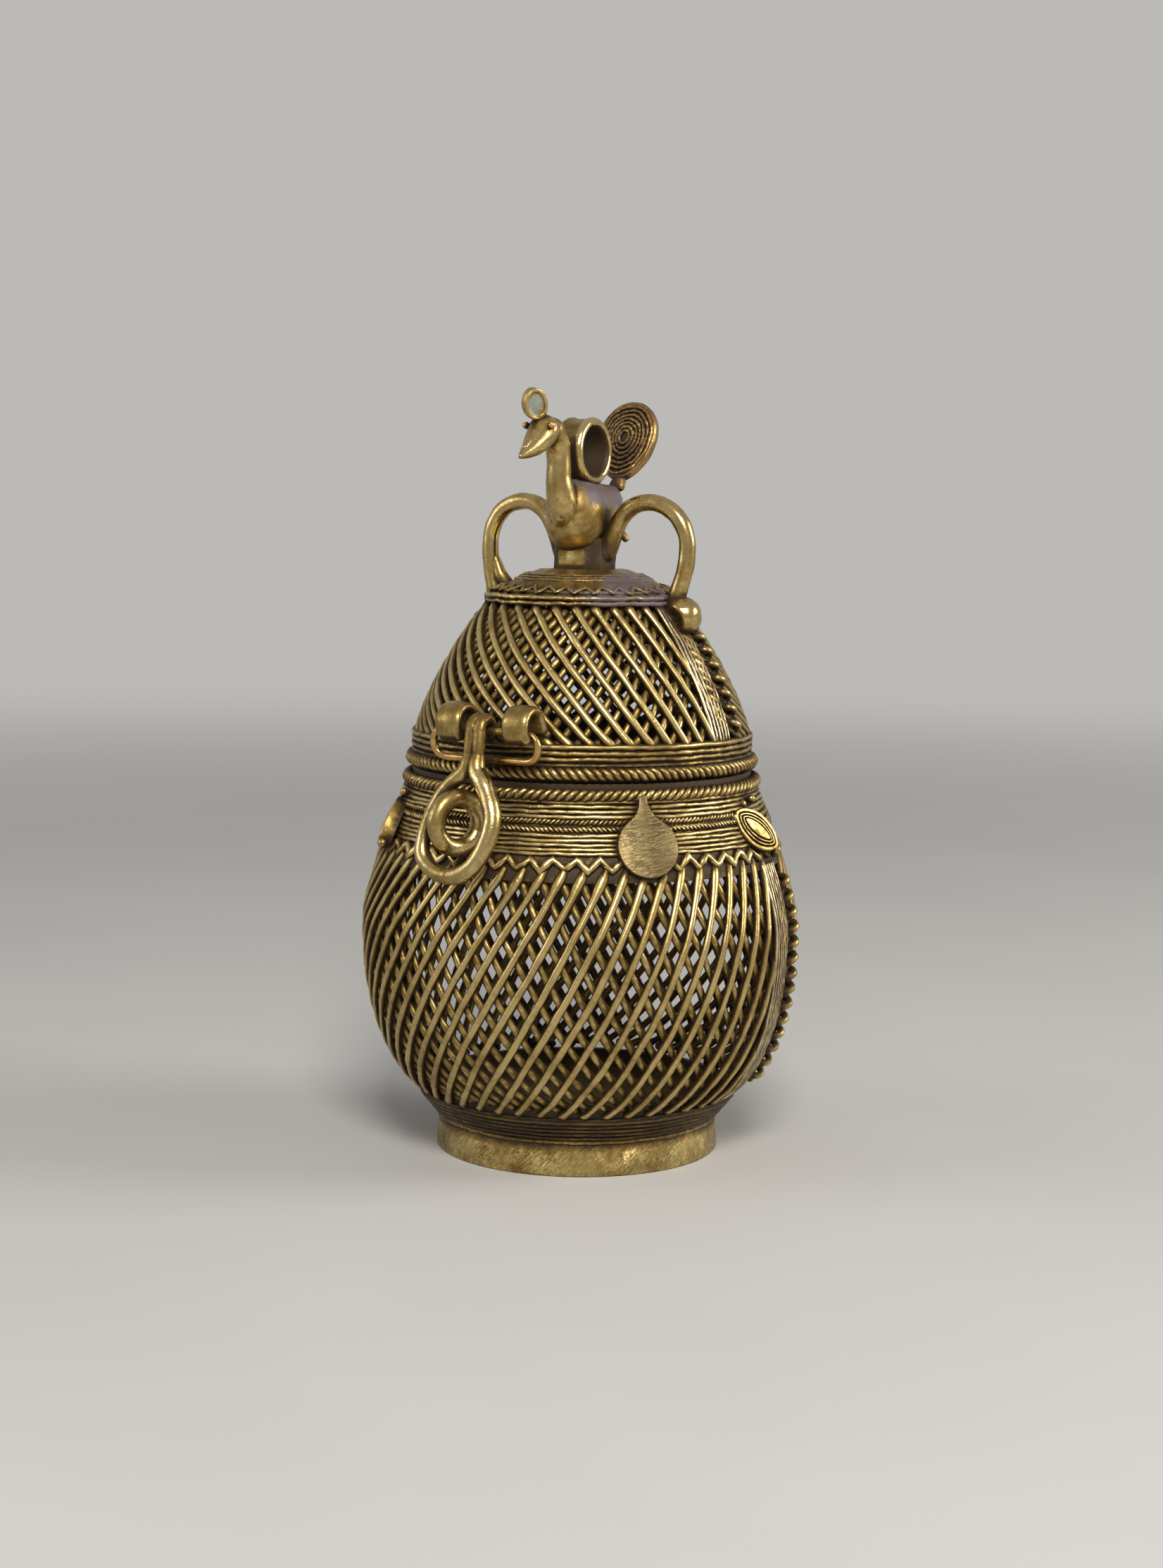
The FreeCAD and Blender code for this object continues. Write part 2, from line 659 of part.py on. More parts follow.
def build_petals():
    """Leaf plates with stepped ridges, and the beads at their corners."""
    petals, beads = [], []
    for slot in PETAL_SLOTS:
        at = wall_placement(collar_radius, slot * ORNAMENT_PITCH_DEG, RIM_Z - PETAL_DROP)
        petal = leaf_plate(1, -DISC_SINK, PETAL_PROUD)
        for step, share in enumerate(PETAL_STEP_SHARES, 1):
            petal = petal.fuse(leaf_plate(share, -DISC_SINK, PETAL_PROUD + step * PETAL_STEP))
        petals.append(placed(petal.removeSplitter(), at))
        for across, along in PETAL_BEAD_SHARES:
            spot = Vector(across * PETAL_WIDTH, along * PETAL_LENGTH, PETAL_BEAD_DIAMETER / 4)
            beads.append(placed(Part.makeSphere(PETAL_BEAD_DIAMETER / 2, spot), at))
    return {"petal_plates": Part.Compound(petals), "petal_beads": Part.Compound(beads)}


def forward(reach, z):
    """A point in the middle plane, a reach towards the hasp."""
    return Vector(0, -reach, z)


def loop_frame():
    """Top of the hasp loop's middle line, its direction down the loop and its length."""
    top = forward(-HASP_Y + LOOP_STEM_FORWARD, HASP_Z)
    bottom = forward(BELLY_RADIUS + LOOP_BELLY_STANDOFF, HASP_Z - LOOP_DROP)
    return top, (bottom - top).normalize(), (bottom - top).Length


def build_staple():
    """Wire eye on a root in the collar, reaching as far as the hasp's way past it allows."""
    z = RIM_Z - STAPLE_DROP
    top, down, length = loop_frame()
    bottom = top + down * length
    way = math.hypot(bottom.y - HINGE_Y, bottom.z - HINGE_Z) - LOOP_WIRE_DIAMETER / 2 - STAPLE_CLEARANCE
    tip_reach = math.sqrt(way**2 - (z - HINGE_Z) ** 2) - HINGE_Y
    angle = math.radians(STAPLE_TURN_DEG)
    out = Vector(-math.sin(angle), -math.cos(angle), 0)
    middle_radius = STAPLE_RADIUS - STAPLE_WIRE_DIAMETER / 2
    middle = forward(tip_reach - STAPLE_RADIUS * math.cos(angle), z)
    eye = Part.makeTorus(middle_radius, STAPLE_WIRE_DIAMETER / 2, middle, Vector(0, 0, 1).cross(out))
    root = forward(collar_radius(z) - STAPLE_ROOT_DEPTH, z)
    back = middle - out * middle_radius
    stub = Part.makeCylinder(STAPLE_WIRE_DIAMETER / 2, (back - root).Length, root, back - root)
    return eye.fuse(stub)


def knuckle(x_from, x_to, bore, lift_deg):
    """Hinge barrel between two places along X, with a leaf that leaves it at a lift above -Y."""
    width = Vector(x_to - x_from, 0, 0)
    axis = Vector(x_from, HINGE_Y, HINGE_Z)
    barrel = Part.makeCylinder(HINGE_BARREL_RADIUS, width.x, axis, width)
    angle = math.radians(lift_deg)
    along = Vector(0, -math.cos(angle), math.sin(angle)) * HINGE_LEAF_LENGTH
    aside = Vector(0, math.sin(angle), math.cos(angle)) * (HINGE_LEAF_THICKNESS / 2)
    corners = [axis + aside, axis + aside + along, axis - aside + along, axis - aside]
    leaf = Part.Face(Part.makePolygon(corners + corners[:1])).extrude(width)
    return barrel.fuse(leaf).cut(Part.makeCylinder(bore, width.x, axis, width))


def build_hinge():
    """Two lugs on the box, a knuckle on the lid and the pin through them."""
    inner = HINGE_KNUCKLE_WIDTH / 2 + HINGE_KNUCKLE_GAP
    outer = inner + HINGE_LUG_WIDTH
    lugs = [
        knuckle(-outer, -inner, HINGE_PIN_RADIUS, HINGE_LUG_LIFT_DEG),
        knuckle(inner, outer, HINGE_PIN_RADIUS, HINGE_LUG_LIFT_DEG),
    ]
    run = Vector(1, 0, 0)
    pin = Part.makeCylinder(HINGE_PIN_RADIUS, 2 * outer, Vector(-outer, HINGE_Y, HINGE_Z), run)
    for x in (-outer - HINGE_PIN_HEAD_LENGTH, outer):
        start = Vector(x, HINGE_Y, HINGE_Z)
        pin = pin.fuse(Part.makeCylinder(HINGE_PIN_HEAD_RADIUS, HINGE_PIN_HEAD_LENGTH, start, run))
    lid_bore = HINGE_PIN_RADIUS + HINGE_RUNNING_CLEARANCE
    half = HINGE_KNUCKLE_WIDTH / 2
    return {
        "hinge_lugs": Part.Compound(lugs),
        "hinge_pin": pin.removeSplitter(),
        "lid_knuckle": knuckle(-half, half, lid_bore, HINGE_LEAF_LIFT_DEG),
    }


def build_lid_walls():
    """The lid's band, rope, threads, lattice and side ribs."""
    z_bottom = LID_BASE_Z - LATTICE_END_DEPTH
    outer, inner = lattice(
        lid_radius,
        z_bottom,
        LID_TOP_Z,
        LID_WIRES_PER_TURN,
        LID_RIB_DEG,
        (LID_STEEP_SPAN_DEG, LID_SLANT_SPAN_DEG),
        LID_EASE_SHARE,
        LID_WIRE_RUNS,
    )
    rope_radius = LID_BAND_RADIUS + LID_ROPE_DIAMETER * (0.5 - COLLAR_THREAD_SINK_SHARE) - LATTICE_FUSE_DEPTH
    threads_z = LID_BASE_Z - LID_THREAD_COUNT * LID_THREAD_DIAMETER / 2
    return {
        "lid_rim_wall": lathe(
            [
                (LID_BAND_RADIUS, LID_BOTTOM_Z),
                (LID_BAND_RADIUS, LID_BASE_Z),
                (LID_BAND_RADIUS - LID_WALL, LID_BASE_Z),
                (LID_BAND_RADIUS - LID_WALL, LID_BOTTOM_Z),
            ]
        ),
        "lid_rope": ring(rope_radius, LID_ROPE_Z, LID_ROPE_DIAMETER),
        "lid_threads": stacked_threads(
            lambda z: LID_BAND_RADIUS, threads_z, LID_THREAD_COUNT, LID_THREAD_DIAMETER
        ),
        "lid_lattice_outer": outer,
        "lid_lattice_inner": inner,
        "lid_rib_strips": rib_strips(lid_radius, z_bottom, LID_TOP_Z, LID_RIB_DEG, LID_WIRE_RUNS),
        "lid_rib_coils": rib_coils(
            lid_radius, LID_BASE_Z + RIB_COIL_RADIUS, LID_TOP_Z - RIB_COIL_RADIUS, LID_RIB_DEG
        ),
    }


def build_cap():
    """The cone that closes the lid, its threads and zigzag, and the block under the bird."""
    cap = lathe(
        [
            (CAP_RADIUS, LID_TOP_Z),
            (CAP_RADIUS, LID_TOP_Z + CAP_EDGE),
            (CAP_NECK_RADIUS, CAP_TOP_Z),
            (0, CAP_TOP_Z),
            (0, CAP_TOP_Z - CAP_WALL),
            (CAP_NECK_RADIUS - CAP_WALL, CAP_TOP_Z - CAP_WALL),
            (CAP_RADIUS - CAP_WALL, LID_TOP_Z),
        ]
    )
    low_z = LID_TOP_Z + CAP_LOW_THREAD_COUNT * CAP_THREAD_DIAMETER / 2
    high_z = LID_TOP_Z + CAP_RISE * CAP_BAND_SHARES["high"]
    wave_z = LID_TOP_Z + CAP_RISE * CAP_BAND_SHARES["wave"]
    radial, upright = wall_normal(cap_radius, high_z)
    high = []
    for i in range(CAP_HIGH_THREAD_COUNT):
        z = high_z + i * CAP_THREAD_DIAMETER * radial
        high.append(ring(cap_radius(z), z, CAP_THREAD_DIAMETER))
    low = stacked_threads(cap_radius, low_z, CAP_LOW_THREAD_COUNT, CAP_THREAD_DIAMETER)
    half, facet = PEDESTAL_WIDTH / 2, PEDESTAL_FRONT_WIDTH / 2
    foot_z = CAP_TOP_Z - PEDESTAL_SINK
    quarter = [(facet, -half), (half, -facet), (half, facet), (facet, half)]
    corners = [Vector(x, y, foot_z) for x, y in quarter + [(-x, -y) for x, y in quarter]]
    pedestal = Part.Face(Part.makePolygon(corners + corners[:1])).extrude(
        Vector(0, 0, PEDESTAL_TOP_Z + PEDESTAL_SINK - foot_z)
    )
    return {
        "cap": cap,
        "cap_threads": Part.Compound(low.Solids + high),
        "cap_wave_wire": wave_wire(cap_radius, wave_z, CAP_WAVE_HEIGHT, CAP_WAVE_PITCH, WAVE_WIRE_DIAMETER),
        "pedestal": pedestal,
    }


def handle(side):
    """Loop handle from the pedestal out and down to the cap's edge."""
    root_lean = math.radians(HANDLE_ROOT_LEAN_DEG)
    foot_lean = math.radians(HANDLE_FOOT_LEAN_DEG)
    points = [
        Vector(side * HANDLE_ROOT_OUT, 0, CAP_TOP_Z + HANDLE_ROOT_RISE),
        Vector(side * HANDLE_TOP_OUT, 0, CAP_TOP_Z + HANDLE_TOP_RISE),
        Vector(side * HANDLE_REACH, 0, CAP_TOP_Z + HANDLE_REACH_RISE),
        Vector(side * HANDLE_FOOT_OUT, 0, LID_TOP_Z),
    ]
    tangents = [
        Vector(side * math.sin(root_lean), 0, math.cos(root_lean)),
        Vector(side, 0, 0),
        Vector(0, 0, -1),
        Vector(-side * math.sin(foot_lean), 0, -math.cos(foot_lean)),
    ]
    return round_wire(points, tangents, HANDLE_DIAMETER)


def build_handles():
    """Both handles, the ball at one foot and the beads at the other."""
    ball_z = LID_TOP_Z - HANDLE_BALL_DIAMETER / 4
    ball_middle = polar(lid_radius(ball_z) + HANDLE_DIAMETER / 4, 90, ball_z)
    beads = []
    for i in range(HANDLE_BEAD_COUNT):
        azimuth = 270 + (i - (HANDLE_BEAD_COUNT - 1) / 2) * HANDLE_BEAD_SPREAD_DEG
        z = LID_TOP_Z - (i % 2) * HANDLE_BEAD_DIAMETER / 2
        beads.append(Part.makeSphere(HANDLE_BEAD_DIAMETER / 2, polar(lid_radius(z), azimuth, z)))
    return {
        "handle_right": handle(1),
        "handle_left": handle(-1),
        "handle_ball": Part.makeSphere(HANDLE_BALL_DIAMETER / 2, ball_middle),
        "handle_beads": Part.Compound(beads),
    }


def trunk_section(reach, width, height):
    """Oval outline across the bird's trunk, taller than wide."""
    middle = forward(reach, PEDESTAL_TOP_Z + BIRD_CHEST_RISE)
    curve = Part.Ellipse(middle + Vector(0, 0, height / 2), middle + Vector(width / 2, 0, 0), middle)
    return Part.Wire([curve.toShape()])


def build_bird_body():
    """The bird's trunk, full in the chest and slim at the tail, and its neck."""
    axis_z = PEDESTAL_TOP_Z + BIRD_CHEST_RISE
    chest_depth = BIRD_GIRTH_WIDTH / 2
    sections = []
    for turn in BIRD_CHEST_SECTIONS_DEG:
        angle = math.radians(turn)
        reach = BIRD_CHEST_REACH - chest_depth + chest_depth * math.cos(angle)
        sections.append(
            trunk_section(reach, BIRD_GIRTH_WIDTH * math.sin(angle), BIRD_GIRTH_HEIGHT * math.sin(angle))
        )
    sections.append(trunk_section(-BIRD_TAIL_REACH, BIRD_TAIL_WIDTH, BIRD_TAIL_HEIGHT))
    body = Part.makeLoft(sections, True)
    foot_lean, top_lean = math.radians(NECK_FOOT_LEAN_DEG), math.radians(NECK_TOP_LEAN_DEG)
    points = [
        forward(NECK_FOOT_REACH, axis_z),
        forward(NECK_BEND_REACH, PEDESTAL_TOP_Z + NECK_BEND_RISE),
        forward(NECK_TOP_REACH, PEDESTAL_TOP_Z + NECK_TOP_RISE),
    ]
    tangents = [
        forward(math.sin(foot_lean), math.cos(foot_lean)),
        Vector(0, 0, 1),
        forward(math.sin(top_lean), math.cos(top_lean)),
    ]
    return {"bird_body": body, "bird_neck": round_wire(points, tangents, NECK_DIAMETER)}


def build_bird_head():
    """Head, beak, eyes and crest."""
    middle = forward(HEAD_REACH, PEDESTAL_TOP_Z + HEAD_RISE)
    beak_tip = forward(BEAK_REACH, PEDESTAL_TOP_Z + BEAK_RISE)
    beak = Part.makeCone(
        BEAK_ROOT_DIAMETER / 2, BEAK_TIP_DIAMETER / 2, (beak_tip - middle).Length, middle, beak_tip - middle
    )
    eyes = []
    for side in (-1, 1):
        spot = middle + Vector(side * HEAD_DIAMETER / 2, -EYE_DIAMETER, EYE_DIAMETER / 2)
        eyes.append(Part.makeSphere(EYE_DIAMETER / 2, spot))
    crest = ellipse_plate(CREST_LENGTH, CREST_WIDTH, CREST_THICKNESS)
    crest.translate(Vector(0, 0, -CREST_THICKNESS / 2))
    crest.rotate(Vector(0, 0, 0), Vector(1, 0, 0), 90)
    crest.rotate(Vector(0, 0, 0), Vector(0, 0, 1), CREST_TURN_DEG)
    crest.rotate(Vector(0, 0, 0), Vector(1, 0, 0), CREST_LEAN_DEG)
    lean = math.radians(CREST_LEAN_DEG)
    crest_rise = HEAD_DIAMETER / 2 + CREST_LENGTH / 2 - CREST_SINK
    crest.translate(middle + forward(math.sin(lean), math.cos(lean)) * crest_rise)
    return {
        "bird_head": Part.makeSphere(HEAD_DIAMETER / 2, middle),
        "bird_beak": beak,
        "bird_eyes": Part.Compound(eyes),
        "bird_crest": crest,
    }


def build_bird_tail():
    """The ring on the bird's back, its tail fan and the fan's ridges."""
    axis_z = PEDESTAL_TOP_Z + BIRD_CHEST_RISE
    ring_z = axis_z + (BIRD_GIRTH_HEIGHT + BACK_RING_DIAMETER) / 2 - BACK_RING_SINK
    start = forward(BACK_RING_REACH, ring_z) - Vector(BACK_RING_LENGTH / 2, 0, 0)
    run = Vector(1, 0, 0)
    back_ring = Part.makeCylinder(BACK_RING_DIAMETER / 2, BACK_RING_LENGTH, start, run)
    back_ring = back_ring.cut(Part.makeCylinder(BACK_RING_BORE / 2, BACK_RING_LENGTH, start, run))
    root = forward(-BIRD_TAIL_REACH, axis_z + BIRD_TAIL_HEIGHT / 2)
    upright = Placement(root, Rotation(Vector(1, 0, 0), 90 - FAN_LEAN_DEG))
    fan = ellipse_plate(FAN_LENGTH, FAN_WIDTH, FAN_THICKNESS)
    ridges = []
    for share in FAN_RIDGE_SHARES:
        length, width = FAN_LENGTH * share, FAN_WIDTH * share
        both_sides = 2 * FAN_RIDGE_DIAMETER
        hollow = ellipse_plate(length - both_sides, width - both_sides, FAN_RIDGE_DIAMETER)
        ridge = ellipse_plate(length, width, FAN_RIDGE_DIAMETER).cut(hollow)
        ridge.translate(Vector(0, 0, FAN_THICKNESS))
        ridges.append(ridge)
    lift = Vector(0, FAN_LENGTH / 2 + FAN_STALK_LENGTH - FAN_ROOT_SINK, 0)
    for shape in [fan] + ridges:
        shape.translate(lift)
    stalk = Part.makeBox(
        FAN_STALK_WIDTH,
        FAN_STALK_LENGTH + FAN_ROOT_SINK,
        FAN_THICKNESS,
        Vector(-FAN_STALK_WIDTH / 2, -FAN_ROOT_SINK, 0),
    )
    fan = fan.fuse(stalk).removeSplitter()
    return {
        "bird_back_ring": back_ring,
        "bird_tail_fan": placed(fan, upright),
        "tail_fan_ridges": Part.Compound([placed(ridge, upright) for ridge in ridges]),
    }


def strap_lug(x_from):
    """Strap that curls out of the lid and over the wire, cut off at its front end."""
    middle = Vector(x_from, HASP_Y + LUG_SETBACK, HASP_Z + LUG_RISE)
    inner = LUG_RADIUS - LUG_THICKNESS

    def at(radius, degrees):
        angle = math.radians(degrees)
        return middle + forward(radius * math.cos(angle), radius * math.sin(angle))

    mid_deg = (LUG_FRONT_DEG + LUG_BACK_DEG) / 2
    back = math.radians(LUG_BACK_DEG)
    tail = forward(-math.sin(back), math.cos(back)) * LUG_TAIL_LENGTH
    corners = [at(LUG_RADIUS, LUG_BACK_DEG) + tail, at(inner, LUG_BACK_DEG) + tail]
    outline = Part.Wire(
        [
            Part.Arc(*[at(LUG_RADIUS, deg) for deg in (LUG_FRONT_DEG, mid_deg, LUG_BACK_DEG)]).toShape(),
            Part.LineSegment(at(LUG_RADIUS, LUG_BACK_DEG), corners[0]).toShape(),
            Part.LineSegment(*corners).toShape(),
            Part.LineSegment(corners[1], at(inner, LUG_BACK_DEG)).toShape(),
            Part.Arc(*[at(inner, deg) for deg in (LUG_BACK_DEG, mid_deg, LUG_FRONT_DEG)]).toShape(),
            Part.LineSegment(at(inner, LUG_FRONT_DEG), at(LUG_RADIUS, LUG_FRONT_DEG)).toShape(),
        ]
    )
    return Part.Face(outline).extrude(Vector(LUG_WIDTH, 0, 0))


def build_hasp_fittings():
    """The two strap lugs and the bent wire that they hold."""
    drop = PIN_LOOP_DROP / 2
    turn_x = PIN_LOOP_HALF_LENGTH - PIN_WIRE_DIAMETER / 2 - drop
    back_y, front_y = HASP_Y, HASP_Y + PIN_LOOP_SETBACK
    low_z = HASP_Z - PIN_LOOP_DROP
    gap_left = -PIN_END_SHIFT - PIN_LOOP_GAP / 2
    points = [
        Vector(gap_left, front_y, low_z),
        Vector(-turn_x, front_y, low_z),
        Vector(-turn_x, back_y, HASP_Z),
        Vector(turn_x, back_y, HASP_Z),
        Vector(turn_x, front_y, low_z),
        Vector(gap_left + PIN_LOOP_GAP, front_y, low_z),
    ]
    left, right = Vector(-1, 0, 0), Vector(1, 0, 0)
    tangents = [left, left, right, right, left, left]
    lug_x = LUG_SPACING / 2 - LUG_WIDTH / 2
    return {
        "hasp_lug_right": strap_lug(lug_x),
        "hasp_lug_left": strap_lug(-lug_x - LUG_WIDTH),
        "hasp_pin_wire": round_wire(points, tangents, PIN_WIRE_DIAMETER),
    }


def build_hasp():
    """The eye round the wire, and the stem that parts into a teardrop loop."""
    start = Vector(-EYE_WIDTH / 2, HASP_Y, HASP_Z)
    run = Vector(1, 0, 0)
    bore = PIN_WIRE_DIAMETER / 2 + EYE_CLEARANCE
    hole = Part.makeCylinder(bore, EYE_WIDTH, start, run)
    eye = Part.makeCylinder(EYE_RADIUS, EYE_WIDTH, start, run).cut(hole)
    top, down, length = loop_frame()
    wide = (LOOP_OUTER_WIDTH - LOOP_WIRE_DIAMETER) / 2
    flare = math.radians(LOOP_FLARE_DEG)
    halves = []
    for side in (-1, 1):
        across = Vector(side, 0, 0)
        points = [
            top + across * (LOOP_STRAND_SPLIT / 2),
            top + across * (LOOP_STRAND_SPLIT / 2) + down * (length * LOOP_SHARES["crotch"]),
            top + across * (wide * LOOP_FLARE_SHARE) + down * (length * LOOP_SHARES["flare"]),
            top + across * wide + down * (length * LOOP_SHARES["wide"]),
            top + down * length,
        ]
        tangents = [down, down, across * math.sin(flare) + down * math.cos(flare), down, across * -1]
        halves.append(round_wire(points, tangents, LOOP_WIRE_DIAMETER))
    return {"hasp_eye": eye, "hasp_loop": halves[0].fuse(halves[1]).cut(hole)}


def main():
    """Builds every piece and writes one file for each."""
    pieces = {}
    for made in (
        build_foot(),
        build_body_walls(),
        build_collar(),
        {"gate_disc": build_gate_disc()},
        build_petals(),
        {"hasp_staple": build_staple()},
        build_hinge(),
        build_lid_walls(),
        build_cap(),
        build_handles(),
        build_bird_body(),
        build_bird_head(),
        build_bird_tail(),
        build_hasp_fittings(),
        build_hasp(),
    ):
        pieces.update(made)
    os.makedirs("parts", exist_ok=True)
    for name, shape in pieces.items():
        shape.exportStep(f"parts/{name}.step")
        solids = shape.Solids
        sound = all(solid.isValid() for solid in solids)
        print(f"{name}: {len(solids)} solids, {shape.Volume:.1f} mm3, valid {sound}")


main()
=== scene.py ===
"""Looks of the cast brass coconut box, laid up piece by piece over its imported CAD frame.

Lengths are in millimetres while a piece is laid up in wax, and in metres once it is cast.
Azimuths are in degrees, from the hasp's side round towards the right.
"""

import logging
from dataclasses import dataclass, field
from enum import Enum
from math import atan2, copysign, cos, degrees, exp, hypot, pi, radians, sin
from typing import Any, Callable, Sequence

import bmesh
import bpy
import numpy as np
from bmesh.types import BMEdge, BMesh, BMFace, BMVert
from mathutils import Matrix, Vector, geometry, noise

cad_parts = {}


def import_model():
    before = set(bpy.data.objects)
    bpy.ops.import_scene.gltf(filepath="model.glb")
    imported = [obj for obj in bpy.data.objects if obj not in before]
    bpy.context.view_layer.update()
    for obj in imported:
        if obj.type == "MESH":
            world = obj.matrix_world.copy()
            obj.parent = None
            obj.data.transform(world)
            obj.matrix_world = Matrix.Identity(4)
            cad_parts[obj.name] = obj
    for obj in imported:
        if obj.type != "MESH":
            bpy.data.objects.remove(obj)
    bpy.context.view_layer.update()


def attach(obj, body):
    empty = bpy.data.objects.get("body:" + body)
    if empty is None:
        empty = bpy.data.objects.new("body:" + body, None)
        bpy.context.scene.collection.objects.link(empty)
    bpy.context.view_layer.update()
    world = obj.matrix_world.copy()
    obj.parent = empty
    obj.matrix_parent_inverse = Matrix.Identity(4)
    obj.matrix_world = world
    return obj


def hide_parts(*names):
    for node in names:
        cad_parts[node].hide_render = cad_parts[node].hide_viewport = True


LOG = logging.getLogger("coconut_box")
MM = 0.001
UP = Vector((0.0, 0.0, 1.0))
RIGHT = Vector((1.0, 0.0, 0.0))
# Points closer than this are one.
MERGE = 1e-3
# Keep one seed's unevenness apart from the next one's.
SEED_STEP, SEED_ROW, RING_SEED_STEP = 17.31, 4.17, 9.73
# Size and place of the rings that round a wire's end, as shares of its thickness.
ROUND_END = ((0.8, 0.5), (0.42, 0.78))

Row = tuple[float, ...]
Pair = tuple[float, float]
Pairs = tuple[Pair, ...]
Triple = tuple[float, float, float]
Triples = tuple[Triple, ...]
Colour = Triple
# For each wave: its step of seed, its rate and its size.
Waves = Triples
Amount = Callable[[Vector], float]
Line = Sequence[Vector]
Socket = bpy.types.NodeSocket
Tree = bpy.types.NodeTree


def polar(radius: float, azimuth: float, z: float) -> Vector:
    """A point at a radius, azimuth and height round the box's axis."""
    angle = radians(azimuth)
    return Vector((radius * sin(angle), -radius * cos(angle), z))


def forward(reach: float, z: float) -> Vector:
    """A point in the middle plane, a reach towards the hasp."""
    return Vector((0.0, -reach, z))


def sway(seed: float, at: float) -> float:
    """Unsteadiness of the hand along a wire, about -1 to 1."""
    return noise.noise(Vector((at, SEED_STEP * seed, SEED_ROW)))


def ring_sway(seed: float, azimuth: float, rate: float) -> float:
    """Unsteadiness of the hand round a closed ring, about -1 to 1."""
    angle = radians(azimuth)
    return noise.noise(Vector((rate * cos(angle), rate * sin(angle), RING_SEED_STEP * seed)))


def waver(seed: float, at: float, waves: Waves) -> float:
    """Several unsteadinesses along a wire, each with its step of seed, rate and size."""
    return sum(size * sway(seed + step, at * rate) for step, rate, size in waves)


def ring_waver(seed: float, azimuth: float, waves: Waves) -> float:
    """Several unsteadinesses round a ring, each with its step of seed, rate and size."""
    return sum(size * ring_sway(seed + step, azimuth, rate) for step, rate, size in waves)


def ramp(value: float, start: float, end: float) -> float:
    """How far a value has gone from a start to an end, from 0 to 1."""
    return min(max((value - start) / (end - start), 0.0), 1.0)


def evenly(amount: float) -> Amount:
    """The same amount of dirt all over a piece."""
    return lambda spot: amount


def picked(made: Sequence[Any], kind: type) -> list[Any]:
    """The vertices, edges or faces among what an operator made."""
    return [item for item in made if isinstance(item, kind)]


def in_scene(name: str, data: bpy.types.ID) -> bpy.types.Object:
    """Makes an object and links it to the scene."""
    thing = bpy.data.objects.new(name, data)
    bpy.context.scene.collection.objects.link(thing)
    return thing


def tube(inner: float, outer: float, low: float, high: float) -> list[Pair]:
    """Outline of a tube, by its radii and ends."""
    return [(inner, low), (outer, low), (outer, high), (inner, high)]


def facing(place: Sequence[float], target: Sequence[float]) -> Matrix:
    """Place from which a camera or a lamp faces a target."""
    way = Vector(target) - Vector(place)
    return Matrix.Translation(place) @ way.to_track_quat("-Z", "Y").to_matrix().to_4x4()


def bent(points: Line, tangents: Line, steps: int, reach: float = 0.37) -> list[Vector]:
    """Bends a wire's middle line smoothly through places and directions.

    Args:
        points: places that the wire passes.
        tangents: its direction at each place.
        steps: points made on each stretch.
        reach: how far each direction holds, as a share of the stretch.

    Returns:
        The points of the middle line.
    """
    line: list[Vector] = []
    for near, far, leave, arrive in zip(points, points[1:], tangents, tangents[1:]):
        hold = (far - near).length * reach
        out = near + leave.normalized() * hold
        back = far - arrive.normalized() * hold
        line.extend(geometry.interpolate_bezier(near, out, back, far, steps + 1)[:-1])
    line.append(points[-1].copy())
    return line


@dataclass(frozen=True)
class Wall:
    """A turned wall of the box, known by its radius at each height."""

    radius_at: Callable[[float], float]
    probe: float = 0.05

    def lean(self, z: float) -> Pair:
        """Radial and upright parts of the outward direction at a height."""
        slope = (self.radius_at(z + self.probe) - self.radius_at(z - self.probe)) / (2 * self.probe)
        length = hypot(1.0, slope)
        return 1.0 / length, -slope / length

    def outward(self, azimuth: float, z: float) -> Vector:
        """Outward direction of the wall."""
        radial, upright = self.lean(z)
        return polar(radial, azimuth, upright)

    def point(self, azimuth: float, z: float, depth: float = 0.0) -> Vector:
        """A point a depth inside the wall, square to it."""
        return polar(self.radius_at(z), azimuth, z) - self.outward(azimuth, z) * depth

    def seat(self, azimuth: float, z: float) -> Matrix:
        """Place on the wall whose X runs round it, Y up it and Z out of it."""
        out = self.outward(azimuth, z)
        angle = radians(azimuth)
        along = Vector((cos(angle), sin(angle), 0.0))
        turned = Matrix((along, out.cross(along), out)).transposed().to_4x4()
        return Matrix.Translation(self.point(azimuth, z)) @ turned


